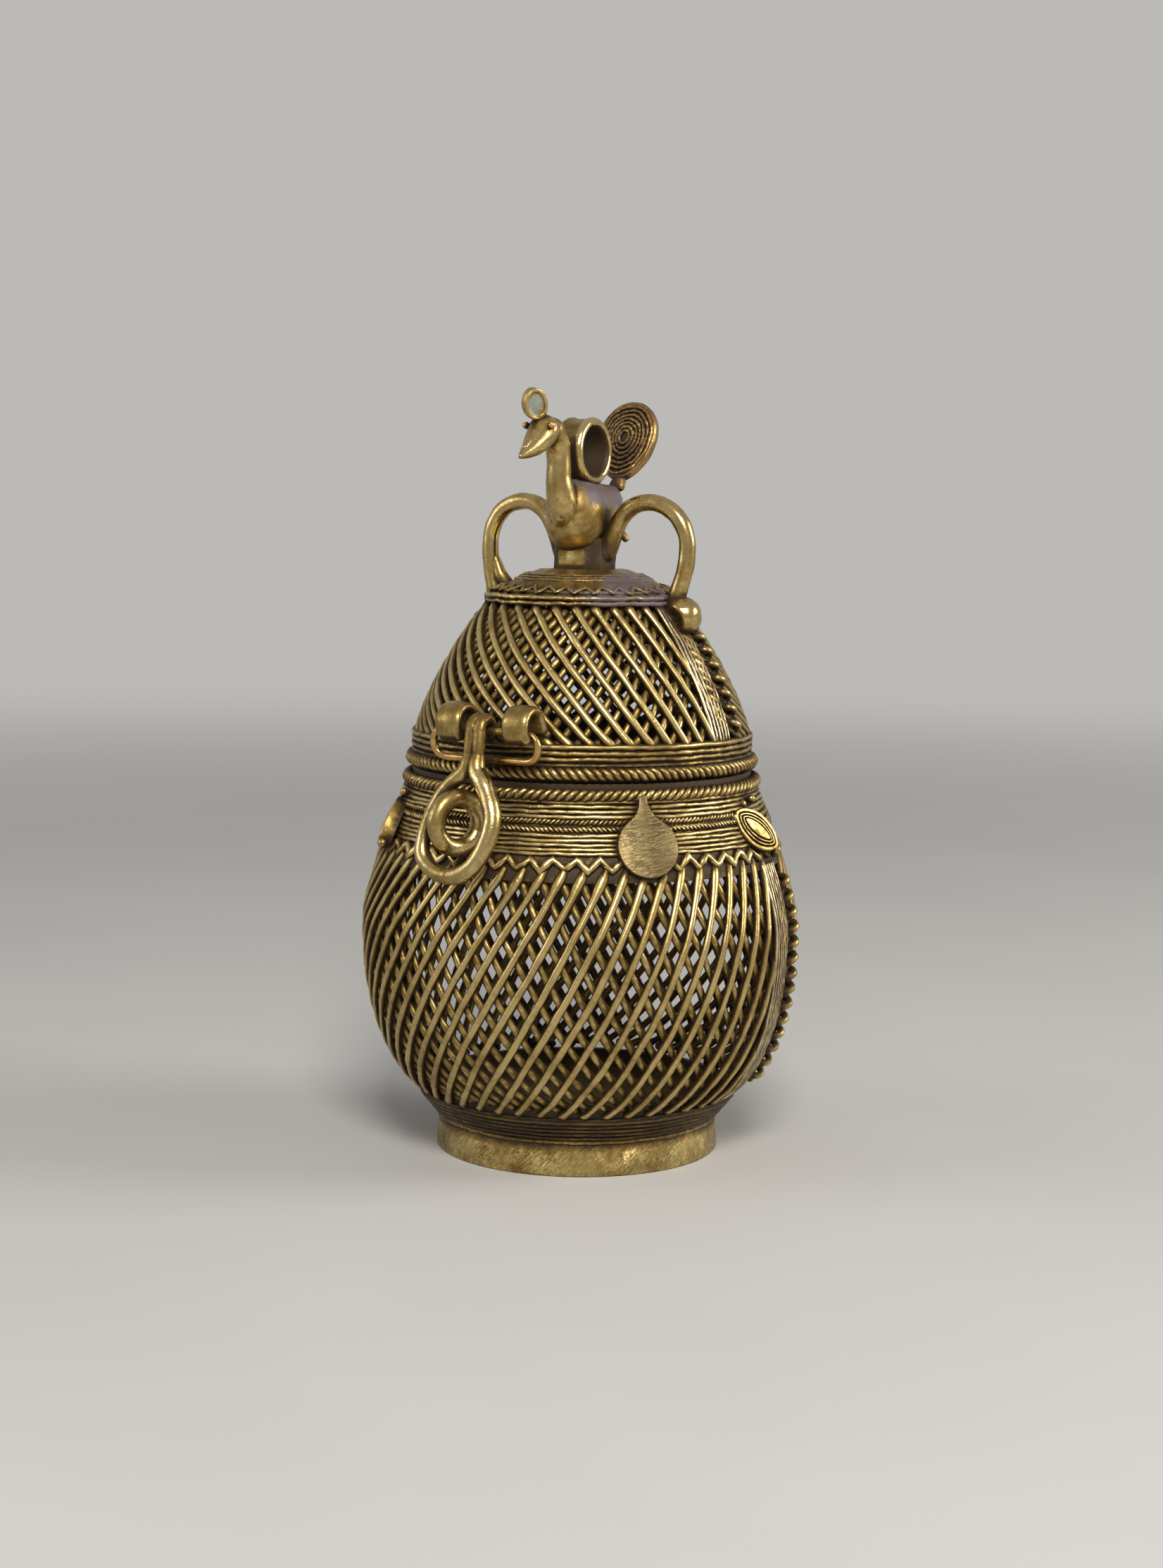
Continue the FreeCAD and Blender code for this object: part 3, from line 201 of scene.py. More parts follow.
@dataclass(frozen=True)
class BoxOutline:
    """The box's outline: foot, belly, mouth, lid and cap."""

    base_radius: float = 33.1
    base_z: float = 12.6
    belly_radius: float = 45.0
    belly_z: float = 48.0
    rim_radius: float = 36.0
    rim_z: float = 75.8
    lid_radius: float = 34.4
    lid_base_z: float = 86.4
    lid_top_z: float = 112.3
    cap_radius: float = 20.1
    cap_edge: float = 1.6
    cap_neck: float = 7.0
    cap_top_z: float = 120.5
    collar_set: float = 0.7
    low_swell: float = 2.5
    low_round: float = 0.763
    high_fall: float = 1.4
    high_round: float = 1.08
    lid_fall: float = 1.3
    lid_round: float = 0.9

    def body_radius(self, z: float) -> float:
        """Radius of the box's wall at a height."""
        if z <= self.belly_z:
            share = max((z - self.base_z) / (self.belly_z - self.base_z), 0.0)
            swell = max(1.0 - (1.0 - share) ** self.low_swell, 0.0) ** self.low_round
            return self.base_radius + (self.belly_radius - self.base_radius) * swell
        share = min((z - self.belly_z) / (self.rim_z - self.belly_z), 1.0)
        swell = (1.0 - share**self.high_fall) ** self.high_round
        return self.rim_radius + (self.belly_radius - self.rim_radius) * swell

    def collar_radius(self, z: float) -> float:
        """Radius of the band at the box's mouth."""
        return self.body_radius(z) - self.collar_set

    def lid_wall_radius(self, z: float) -> float:
        """Radius of the lid's wall at a height."""
        swell = (1.0 - ramp(z, self.lid_base_z, self.lid_top_z) ** self.lid_fall) ** self.lid_round
        return self.cap_radius + (self.lid_radius - self.cap_radius) * swell

    def cap_wall_radius(self, z: float) -> float:
        """Radius of the cap's cone at a height."""
        low = self.lid_top_z + self.cap_edge
        share = max(z - low, 0.0) / (self.cap_top_z - low)
        return self.cap_radius - (self.cap_radius - self.cap_neck) * share


OUTLINE = BoxOutline()
BODY_WALL = Wall(OUTLINE.body_radius)
COLLAR_WALL = Wall(OUTLINE.collar_radius)
LID_WALL = Wall(OUTLINE.lid_wall_radius)
CAP_WALL = Wall(OUTLINE.cap_wall_radius)


class Wax:
    """A piece of the box while it is laid up in wax."""

    NEARLY_ALONG: float = 0.98
    THREAD_STEPS: int = 280
    WANDER: Waves = ((0.0, 5.0, 1.0), (1.3, 19.0, 0.6))
    PRESSED: Waves = ((3.1, 7.0, 1.0), (4.3, 33.0, 0.9))
    LUMPS: Waves = ((5.7, 16.0, 0.2), (6.9, 50.0, 0.16))
    STRANDS: int = 3
    LAY_STEPS: int = 12
    HELIX: float = 0.265
    STRAND: float = 0.235
    STRAND_DRIFT: Waves = ((0.0, 12.0, 0.05),)
    STRAND_LUMPS: Waves = ((7.0, 30.0, 0.1),)
    SHARP: float = 28.0
    SMALL_BALL: float = 1.3
    DENT_RATE: float = 1.6
    CRATER_RATE: float = 7.0
    CRATER_DEPTH: float = 0.3
    CRATER_EDGE: Pair = (0.76, 0.92)
    MARK_STEPS: Triple = (3.7, 1.3, 5.1)

    def __init__(self) -> None:
        """Starts with no wax."""
        self.mesh = bmesh.new()

    def press_on(self, strip: BMesh, place: Matrix | None = None) -> None:
        """Presses a finished strip of wax on to the piece.

        Args:
            strip: the strip, which is used up.
            place: where the strip goes, if it isn't in place yet.
        """
        if place is not None:
            bmesh.ops.transform(strip, matrix=place, verts=strip.verts)
        bmesh.ops.recalc_face_normals(strip, faces=strip.faces)
        layer = bpy.data.meshes.new("strip")
        strip.to_mesh(layer)
        strip.free()
        self.mesh.from_mesh(layer)
        bpy.data.meshes.remove(layer)

    def wire(
        self, points: Line, thick: float | Sequence[float], sides: int = 8, outward: Line | None = None,
        flat: float | Sequence[float] = 1.0, square: float = 1.0, closed: bool = False,
        ends: Sequence[Pair] = ROUND_END,
    ) -> None:
        """Lays one wire along its middle line, with rounded ends.

        Args:
            points: the middle line.
            thick: half thickness, one for all or one for each point.
            sides: corners of the wire's section.
            outward: way in which the thickness lies at each point, if it isn't carried along.
            flat: width over thickness, one for all or one for each point.
            square: 1 for a round section, less for one with fuller corners.
            closed: whether the wire meets its own start.
            ends: size and place of each ring that rounds an open end.
        """
        count = len(points)
        radii = [thick] * count if isinstance(thick, (int, float)) else list(thick)
        widths = [flat] * count if isinstance(flat, (int, float)) else list(flat)
        frames: list[Matrix] = []
        lift = UP
        for i, point in enumerate(points):
            ahead = points[(i + 1) % count] if closed or i + 1 < count else point
            behind = points[i - 1] if closed or i else point
            along = (ahead - behind).normalized()
            lift = outward[i] if outward is not None else lift
            if abs(along.dot(lift)) > self.NEARLY_ALONG:
                lift = along.orthogonal()
            across = along.cross(lift).normalized()
            lift = across.cross(along)
            turned = Matrix((across, lift, along)).transposed().to_4x4()
            size = Matrix.Diagonal((radii[i] * widths[i], radii[i], radii[i] * min(widths[i], 1.0), 1.0))
            frames.append(Matrix.Translation(point) @ turned @ size)
        if closed:
            frames.append(frames[0])
        else:
            first, last = frames[0], frames[-1]
            for share, out in ends:
                size = Matrix.Diagonal((share, share, 1.0, 1.0))
                frames.insert(0, first @ Matrix.Translation((0, 0, -out)) @ size)
                frames.append(last @ Matrix.Translation((0, 0, out)) @ size)
        strip = bmesh.new()
        ring = bmesh.ops.create_circle(strip, segments=sides, radius=1.0)["verts"]
        for vert in ring:
            for axis in (0, 1):
                vert.co[axis] = copysign(abs(vert.co[axis]) ** square, vert.co[axis])
        bmesh.ops.transform(strip, matrix=frames[0], verts=ring)
        start = edges = strip.edges[:]
        for before, after in zip(frames, frames[1:]):
            made = bmesh.ops.extrude_edge_only(strip, edges=edges)["geom"]
            ring = picked(made, BMVert)
            edges = picked(made, BMEdge)
            bmesh.ops.transform(strip, matrix=after @ before.inverted(), verts=ring)
        if closed:
            bmesh.ops.remove_doubles(strip, verts=strip.verts, dist=MERGE)
        else:
            bmesh.ops.edgeloop_fill(strip, edges=start + edges)
        self.press_on(strip)

    def thread(
        self, radius: float, z: float, diameter: float, seed: float, drift: float = 0.09,
        sink: float = 0.04,
    ) -> None:
        """Lays one level thread round the axis, a little uneven as a hand leaves it.

        Args:
            radius: radius of its middle line.
            z: height of its middle line.
            diameter: thickness.
            seed: which unevenness it has.
            drift: how far it wanders up and down.
            sink: how far it is pressed in and out.
        """
        points, radii, outs = [], [], []
        for i in range(self.THREAD_STEPS):
            azimuth = 360.0 * i / self.THREAD_STEPS
            wander = drift * ring_waver(seed, azimuth, self.WANDER)
            pressed = sink * ring_waver(seed, azimuth, self.PRESSED)
            points.append(polar(radius + pressed, azimuth, z + wander))
            radii.append(diameter / 2 * (1.0 + ring_waver(seed, azimuth, self.LUMPS)))
            outs.append(polar(1.0, azimuth, 0.0))
        self.wire(points, radii, outward=outs, closed=True)

    def rope(self, radius: float, z: float, diameter: float, lays: int, hand: int, seed: float) -> None:
        """Lays a rope of three twisted strands round the axis.

        Args:
            radius: radius of its middle line.
            z: height of its middle line.
            diameter: thickness of the whole rope.
            lays: full turns that each strand makes.
            hand: 1 or -1, which way it is twisted.
            seed: which unevenness it has.
        """
        helix, strand = self.HELIX * diameter, self.STRAND * diameter
        steps = self.LAY_STEPS * lays
        for k in range(self.STRANDS):
            points, radii, outs = [], [], []
            for i in range(steps):
                azimuth = 360.0 * i / steps
                turn = 2 * pi * (lays * i / steps + k / self.STRANDS)
                uneven = diameter * ring_waver(seed + k, azimuth, self.STRAND_DRIFT)
                rise = hand * helix * sin(turn)
                points.append(polar(radius + helix * cos(turn), azimuth, z + rise + uneven))
                radii.append(strand * (1.0 + ring_waver(seed + k, azimuth, self.STRAND_LUMPS)))
                outs.append(polar(1.0, azimuth, 0.0))
            self.wire(points, radii, sides=7, outward=outs, closed=True)

    def turned(
        self, outline: Sequence[Pair], steps: int = 144, soften: float = 0.3, place: Matrix | None = None
    ) -> None:
        """Turns a closed outline of radius and height round the upright axis.

        Args:
            outline: corners of the outline.
            steps: faces round.
            soften: how far its corners are rounded.
            place: where the turned shape goes, if not upright on the axis.
        """
        strip = bmesh.new()
        corners = [strip.verts.new((0.0, -radius, z)) for radius, z in outline]
        edges = [strip.edges.new(pair) for pair in zip(corners, corners[1:] + corners[:1])]
        bmesh.ops.spin(
            strip, geom=corners + edges, cent=(0, 0, 0), axis=UP, angle=2 * pi, steps=steps,
            use_merge=True,
        )
        bmesh.ops.remove_doubles(strip, verts=strip.verts, dist=MERGE)
        bmesh.ops.dissolve_degenerate(strip, edges=strip.edges, dist=MERGE / 10)
        bmesh.ops.recalc_face_normals(strip, faces=strip.faces)
        self.soften(strip, soften)
        self.press_on(strip, place)

    @staticmethod
    def soften(strip: BMesh, width: float) -> None:
        """Rounds the sharp edges of a strip.

        Args:
            strip: the strip of wax.
            width: how far the rounding reaches.
        """
        limit = radians(Wax.SHARP)
        keen = [edge for edge in strip.edges if edge.is_manifold and edge.calc_face_angle(0.0) > limit]
        bmesh.ops.bevel(
            strip, geom=keen, offset=width, segments=2, profile=0.5, affect="EDGES", material=-1,
            clamp_overlap=True,
        )

    def ball(
        self, centre: Vector, radius: float, seed: float, dents: float = 0.07,
        dent_at: Vector | None = None,
    ) -> None:
        """Rolls a ball of wax that isn't quite round.

        Args:
            centre: its middle.
            radius: its radius.
            seed: which unevenness it has.
            dents: how uneven it is.
            dent_at: direction of a crater in it, if it has one.
        """
        strip = bmesh.new()
        detail = 2 if radius < self.SMALL_BALL else 4
        bmesh.ops.create_icosphere(strip, subdivisions=detail, radius=1.0)
        drift = Vector((seed, 2.0 * seed, 0.5))
        for vert in strip.verts:
            way = vert.co.normalized()
            size = 1.0 - 0.5 * dents + dents * noise.noise(way * self.DENT_RATE + drift)
            if dent_at is not None:
                rough = 1.0 + 0.5 * noise.noise(way * self.CRATER_RATE + Vector((seed, 0.0, 0.0)))
                near = ramp(way.dot(dent_at.normalized()), *self.CRATER_EDGE)
                size -= self.CRATER_DEPTH * rough * near
            vert.co = way * size
        bmesh.ops.scale(strip, vec=(radius,) * 3, verts=strip.verts)
        self.press_on(strip, Matrix.Translation(centre))

    def plate(
        self, shape: Callable[[Vector], Vector], bottom: float, top: float, place: Matrix,
        terraces: Sequence[Pair] = (), soften: float = 0.25, both: bool = False, segments: int = 40,
    ) -> None:
        """Cuts a plate to an outline and works its face in steps.

        Args:
            shape: turns a point of a unit circle into the plate's outline.
            bottom: height of its back.
            top: height of its face.
            place: where it goes.
            terraces: width and rise of each step inwards from the edge.
            soften: how far its edges are rounded.
            both: whether its back is worked like its face.
            segments: corners of the outline.
        """
        strip = bmesh.new()
        ring = bmesh.ops.create_circle(strip, cap_ends=True, segments=segments, radius=1.0)["verts"]
        for vert in ring:
            vert.co = shape(vert.co.copy())
        bmesh.ops.translate(strip, vec=(0, 0, bottom), verts=ring)
        back = strip.faces[:]
        raised = bmesh.ops.extrude_face_region(strip, geom=back, use_keep_orig=True)["geom"]
        lifted = picked(raised, BMVert)
        bmesh.ops.translate(strip, vec=(0, 0, top - bottom), verts=lifted)
        front = picked(raised, BMFace)
        for faces, way in ((front, 1.0), (back if both else [], -1.0)):
            for width, rise in terraces if faces else ():
                made = bmesh.ops.extrude_face_region(strip, geom=faces)["geom"]
                bmesh.ops.delete(strip, geom=faces, context="FACES_ONLY")
                faces = picked(made, BMFace)
                edge = faces[0].verts[:]
                long, wide = (max(abs(vert.co[axis]) for vert in edge) for axis in (1, 0))
                bmesh.ops.scale(strip, vec=(1.0 - width / wide, 1.0 - width / long, 1.0), verts=edge)
                bmesh.ops.translate(strip, vec=(0, 0, way * rise), verts=edge)
        bmesh.ops.recalc_face_normals(strip, faces=strip.faces)
        self.soften(strip, soften)
        self.press_on(strip, place)

    def slab(self, corners: Line, run: Vector) -> None:
        """Cuts a flat leaf from four corners and gives it a width.

        Args:
            corners: corners of its edge face.
            run: direction and length of its width.
        """
        strip = bmesh.new()
        face = strip.faces.new([strip.verts.new(corner) for corner in corners])
        made = bmesh.ops.extrude_face_region(strip, geom=[face], use_keep_orig=True)["geom"]
        moved = picked(made, BMVert)
        bmesh.ops.translate(strip, vec=run, verts=moved)
        bmesh.ops.recalc_face_normals(strip, faces=strip.faces)
        bmesh.ops.subdivide_edges(strip, edges=strip.edges, cuts=3, use_grid_fill=True)
        self.soften(strip, 0.35)
        self.press_on(strip)

    def roughen(self, size: float, grain: float, seed: float) -> "Wax":
        """Leaves the marks of fingers on the wax.

        Args:
            size: how far the surface moves.
            grain: size of the marks.
            seed: which marks it has.

        Returns:
            The piece.
        """
        self.mesh.normal_update()
        drift = Vector([seed * step for step in self.MARK_STEPS])
        verts = self.mesh.verts
        moves = [vert.normal * (size * noise.noise(vert.co / grain + drift)) for vert in verts]
        for vert, move in zip(verts, moves):
            vert.co += move
        return self


class Slot(Enum):
    """The record's material slots."""

    ANTIQUE = "antique_brass"
    FILED = "filed_brass"
    WORN = "worn_brass"
    WIRE = "wire_brass"
    PALE = "pale_brass"


class Marks(Enum):
    """How a finish was worked after casting, by the slope of its file strokes."""

    AS_CAST = None
    LEVEL = -0.16
    SLANTED = -0.85


class Graph:
    """A short way to lay out one node tree."""

    def __init__(self, tree: Tree) -> None:
        """Takes the tree and clears it."""
        self.tree = tree
        tree.nodes.clear()

    def add(self, kind: str, inputs: dict[Any, Any] | None = None, **settings: Any) -> bpy.types.Node:
        """Adds a node.

        Args:
            kind: the node's type, without its family name.
            inputs: for each socket, by name or number, the socket that feeds it or its own value.
            settings: the node's other properties.

        Returns:
            The node.
        """
        node = self.tree.nodes.new("ShaderNode" + kind)
        for name, value in settings.items():
            setattr(node, name, value)
        for key, value in (inputs or {}).items():
            if isinstance(value, Socket):
                self.tree.links.new(value, node.inputs[key])
            else:
                node.inputs[key].default_value = value
        return node

    def sum(self, operation: str, *values: Any, clamp: bool = False) -> Socket:
        """Adds a Math node and gives its output."""
        settings = {"operation": operation, "use_clamp": clamp}
        return self.add("Math", dict(enumerate(values)), **settings).outputs[0]

    def stray(self, value: Any, weight: Any, base: Any, clamp: bool = False) -> Socket:
        """Moves a base by how far a value strays from a half, times a weight."""
        return self.sum("MULTIPLY_ADD", self.sum("SUBTRACT", value, 0.5), weight, base, clamp=clamp)

    def mix(self, share: Any, first: Any, second: Any, blend: str = "MIX") -> Socket:
        """Mixes two colours."""
        inputs = {0: share, 6: first, 7: second}
        return self.add("Mix", inputs, data_type="RGBA", blend_type=blend).outputs[2]

    def spread(
        self, value: Any, low: float, high: float, start: float = 0.0, end: float = 1.0
    ) -> Socket:
        """Maps a value smoothly from one range to another."""
        inputs = {"Value": value, "From Min": low, "From Max": high, "To Min": start, "To Max": end}
        return self.add("MapRange", inputs, interpolation_type="SMOOTHSTEP").outputs[0]

    def grain(
        self, coords: Any, scale: float, detail: float = 3.0, rough: float = 0.55
    ) -> Socket:
        """Noise of a scale per metre."""
        inputs = {"Vector": coords, "Scale": scale, "Detail": detail, "Roughness": rough}
        return self.add("TexNoise", inputs).outputs[0]


def node_group(
    name: str, inputs: Sequence[tuple[str, float]], outputs: Sequence[str]
) -> tuple[Graph, Any, Any]:
    """Starts a shader node group.

    Args:
        name: the group's name.
        inputs: its inputs with their usual values.
        outputs: its outputs.

    Returns:
        The graph, the input node's outputs and the output node's inputs.
    """
    tree = bpy.data.node_groups.new(name, "ShaderNodeTree")
    for label, usual in inputs:
        socket = tree.interface.new_socket(label, in_out="INPUT", socket_type="NodeSocketFloat")
        socket.default_value = usual
    for label in outputs:
        tree.interface.new_socket(label, in_out="OUTPUT", socket_type="NodeSocketFloat")
    graph = Graph(tree)
    given, out = (tree.nodes.new("NodeGroup" + end) for end in ("Input", "Output"))
    return graph, given.outputs, out.inputs


class FinishGroups:
    """The effects that the brass finishes share."""

    FINE_SKIN: float = 0.45
    STROKE_RADIUS: float = 0.034
    STROKE_WANDER: float = 0.0012
    STROKE_STRETCH: float = 0.15
    FINE_STROKES: float = 0.55

    def __init__(self) -> None:
        """Builds each group once."""
        self.patina_and_shade = self.build_patina_and_shade()
        self.skin = self.build_skin()
        self.file_marks = self.build_file_marks()

    def build_patina_and_shade(self) -> Tree:
        """Dark patina and painted shade that lie in the hollows; the patina wears off where hands and
        cloths reach.
        """
        usual = [("Recess", 0.0), ("Oxide", 0.0), ("Recess Gain", 1.0), ("Shift", 0.0)]
        graph, given, out = node_group("patina_and_painted_shade", usual, ["Shade", "Veil", "Speck"])
        coords = graph.add("TexCoord").outputs["Object"]
        blotch = graph.grain(coords, 130.0, detail=5.0, rough=0.62)
        speck = graph.grain(coords, 1150.0, rough=0.6)
        cloud = graph.grain(coords, 210.0, detail=4.0, rough=0.6)
        hollow = graph.sum("MULTIPLY_ADD", given["Recess"], given["Recess Gain"], given["Shift"])
        clouded = graph.stray(blotch, weight=0.95, base=hollow)
        shade = graph.stray(speck, weight=0.42, base=clouded, clamp=True)
        film = graph.stray(cloud, weight=1.6, base=given["Oxide"])
        veil = graph.spread(film, 0.28, 0.75)
        for name, value in (("Shade", shade), ("Veil", veil), ("Speck", speck)):
            graph.tree.links.new(value, out[name])
        return graph.tree

    def build_skin(self) -> Tree:
        """Skin that fine clay leaves on cast metal: grain, soft lumps and a few pits."""
        graph, given, out = node_group("cast_skin", [("Coarseness", 1.0)], ["Height"])
        coords = graph.add("TexCoord").outputs["Object"]
        fine = graph.grain(coords, 2600.0, rough=0.6)
        lumps = graph.grain(coords, 520.0, detail=2.0, rough=0.5)
        pits = graph.add("TexVoronoi", {"Vector": coords, "Scale": 900.0}).outputs["Distance"]
        sunk = graph.spread(pits, 0.0, 0.32, start=-0.8, end=0.0)
        sparse = graph.spread(graph.grain(coords, 300.0), 0.52, 0.62)
        height = graph.sum("MULTIPLY_ADD", fine, self.FINE_SKIN, lumps)
        height = graph.sum("MULTIPLY_ADD", sunk, sparse, height)
        graph.tree.links.new(graph.sum("MULTIPLY", height, given["Coarseness"]), out["Height"])
        return graph.tree

    def build_file_marks(self) -> Tree:
        """Short strokes of a file, laid along the wall, deep in some patches and faint in others."""
        graph, given, out = node_group("file_strokes", [("Slope", 0.0)], ["Stroke"])
        coords = graph.add("TexCoord").outputs["Object"]
        parts = graph.add("SeparateXYZ", {0: coords}).outputs
        turn = graph.sum("ARCTAN2", parts["X"], graph.sum("MULTIPLY", parts["Y"], -1.0))
        wander = graph.sum("MULTIPLY", graph.grain(coords, 260.0, detail=1.0), self.STROKE_WANDER)
        round_wall = graph.sum("MULTIPLY_ADD", turn, self.STROKE_RADIUS, wander)
        rise = graph.sum("MULTIPLY_ADD", round_wall, given["Slope"], parts["Z"])
        fall = graph.sum("MULTIPLY", given["Slope"], -1.0)
        run = graph.sum("MULTIPLY_ADD", parts["Z"], fall, round_wall)
        drawn = graph.sum("MULTIPLY", run, self.STROKE_STRETCH)
        place = graph.add("CombineXYZ", {0: drawn, 1: rise, 2: 0.0}).outputs[0]
        coarse = graph.spread(graph.grain(place, 2400.0, detail=2.0, rough=0.6), 0.36, 0.64)
        fine = graph.spread(graph.grain(place, 6400.0, detail=2.0, rough=0.6), 0.34, 0.66)
        coarse = graph.sum("MULTIPLY", coarse, 1.0 - self.FINE_STROKES)
        cut = graph.sum("MULTIPLY_ADD", fine, self.FINE_STROKES, coarse)
        patch = graph.grain(coords, 190.0, detail=2.0)
        patch = graph.spread(patch, 0.36, 0.62, start=0.25)
        graph.tree.links.new(graph.stray(cut, weight=patch, base=0.5), out["Stroke"])
        return graph.tree


# Shades at which the patina and painted shade show the bright, middle and dark colours.
BRIGHT_AT, MIDDLE_AT, DARK_AT = 0.08, 0.42, 0.86
# What specks and film add to the roughness.
SPECK_ROUGH, FILM_ROUGH = 0.22, 0.16
# What file strokes add to the skin, and what they leave of it.
STROKE_DEPTH, FILED_SKIN = 1.5, 0.35
BUMP_DISTANCE = 0.00018


@dataclass(frozen=True)
class BrassFinish:
    """One finish of the brass, from worn metal to patina and painted shade."""

    name: str
    slot: Slot = Slot.ANTIQUE
    bright: Colour = (0.60, 0.45, 0.19)
    middle: Colour = (0.27, 0.176, 0.051)
    dark: Colour = (0.044, 0.024, 0.0065)
    oxide: Colour = (0.160, 0.126, 0.128)
    # How strongly the recess, patina and painted shade, darkens this finish.
    recess_gain: float = 1.0
    shift: float = 0.29
    rub: float = 0.0
    rough_bright: float = 0.3
    rough_dark: float = 0.6
    coarseness: float = 1.0
    bump: float = 0.4
    marks: Marks = Marks.AS_CAST

    def material(self, groups: FinishGroups) -> bpy.types.Material:
        """Makes the finish's material.

        Args:
            groups: the shared effects.

        Returns:
            The material.
        """
        material = bpy.data.materials.new(self.name)
        material.use_nodes = True
        graph = Graph(material.node_tree)
        inputs: dict[str, Any] = {"Recess Gain": self.recess_gain, "Shift": self.shift}
        for label in ("Recess", "Oxide"):
            inputs[label] = graph.add("Attribute", attribute_name=label.lower()).outputs["Fac"]
        patina_and_shade = graph.add("Group", inputs, node_tree=groups.patina_and_shade).outputs
        shade, veil, speck = (patina_and_shade[label] for label in ("Shade", "Veil", "Speck"))
        # The colour runs from bright to dark with the shade, which holds patina and painted shade.
        tones = graph.add("ValToRGB", {0: shade})
        stops = tones.color_ramp.elements
        stops[0].position, stops[0].color = BRIGHT_AT, (*self.bright, 1.0)
        stops[1].position, stops[1].color = DARK_AT, (*self.dark, 1.0)
        stops.new(MIDDLE_AT).color = (*self.middle, 1.0)
        colour = graph.mix(veil, tones.outputs[0], (*self.oxide, 1.0))
        rough = graph.spread(shade, 0.05, 0.85, start=self.rough_bright, end=self.rough_dark)
        rough = graph.stray(speck, weight=SPECK_ROUGH, base=rough)
        rough = graph.sum("MULTIPLY_ADD", veil, FILM_ROUGH, rough, clamp=True)
        # Less metallic where patina and painted shade darken it.
        bright_metal = graph.spread(shade, 0.45, 0.95, start=1.0, end=0.45)
        clear = graph.spread(veil, 0.0, 1.0, start=1.0, end=0.7)
        metal = graph.sum("MULTIPLY", bright_metal, clear)
        skin = graph.add("Group", {0: self.coarseness}, node_tree=groups.skin).outputs[0]
        if self.marks is not Marks.AS_CAST:
            slope = {"Slope": self.marks.value}
            stroke = graph.add("Group", slope, node_tree=groups.file_marks).outputs[0]
            skin = graph.sum("MULTIPLY", skin, FILED_SKIN)
            skin = graph.sum("MULTIPLY_ADD", stroke, STROKE_DEPTH, skin)
            worn = graph.spread(stroke, 0.12, 0.8, start=0.42, end=1.25)
            grey = graph.add("CombineColor", {0: worn, 1: worn, 2: worn}).outputs[0]
            colour = graph.mix(1.0, colour, grey, "MULTIPLY")
        relief = {"Height": skin, "Strength": self.bump, "Distance": BUMP_DISTANCE}
        normal = graph.add("Bump", relief).outputs[0]
        brass = {"Base Color": colour, "Roughness": rough, "Metallic": metal, "Normal": normal}
        shader = graph.add("BsdfPrincipled", brass).outputs[0]
        graph.add("OutputMaterial", {"Surface": shader})
        return material


ANTIQUE = BrassFinish("antique_cast_brass")
THREADED = BrassFinish("threaded_cast_brass", shift=0.2, rub=0.62)
ROPED = BrassFinish("roped_cast_brass", shift=0.2, rub=0.5)
LATTICE = BrassFinish("lattice_wire_brass", shift=0.17, rub=0.55, coarseness=0.8)
INNER = BrassFinish("inner_wire_brass", recess_gain=0.5, shift=0.17, rub=0.4, coarseness=0.8)
SILVERY = BrassFinish(
    "rubbed_thread_brass", bright=(0.70, 0.60, 0.40), middle=(0.33, 0.25, 0.125),
    shift=0.06, rub=0.85, rough_bright=0.25, bump=0.25,
)
SMOOTH = BrassFinish(
    "handled_brass", shift=0.26, rough_bright=0.16, coarseness=0.5, bump=0.3,
)
SUNK = BrassFinish(
    "sunk_cast_brass", shift=0.28, rub=0.35, rough_bright=0.34, coarseness=0.7, bump=0.9,
)
# A much darker copy of the brass, as painted shade, for the pieces inside and under the box.
SHADOWED_BRASS = BrassFinish("painted_shadow_brass", shift=0.72, rough_bright=0.45)
COPPERY = BrassFinish(
    "coppery_cast_brass", bright=(0.46, 0.295, 0.125), middle=(0.215, 0.127, 0.046),
    dark=(0.03, 0.017, 0.008),
)
# The disc's colours are darker than the foot's, as painted shade, to offset the key lamp that faces it.
FILED_DISC = BrassFinish(
    "level_filed_brass", Slot.FILED, bright=(0.29, 0.217, 0.103), middle=(0.17, 0.118, 0.046),
    recess_gain=0.3, shift=0.17, rough_bright=0.38, marks=Marks.LEVEL,
)
FILED_FOOT = BrassFinish(
    "slant_filed_brass", Slot.FILED, bright=(0.70, 0.53, 0.22), recess_gain=0.8, shift=0.27,
    rough_bright=0.22, marks=Marks.SLANTED,
)
WORN = BrassFinish("worn_hasp_brass", Slot.WORN, bright=(0.60, 0.465, 0.22), shift=0.25, rough_bright=0.2)
WIRE = BrassFinish(
    "orange_wire_brass", Slot.WIRE, bright=(0.60, 0.375, 0.13), middle=(0.29, 0.16, 0.042),
    shift=0.17, rough_bright=0.2, coarseness=0.4,
)
PALE = BrassFinish("pale_faced_brass", Slot.PALE, oxide=(0.27, 0.315, 0.28), shift=0.2)


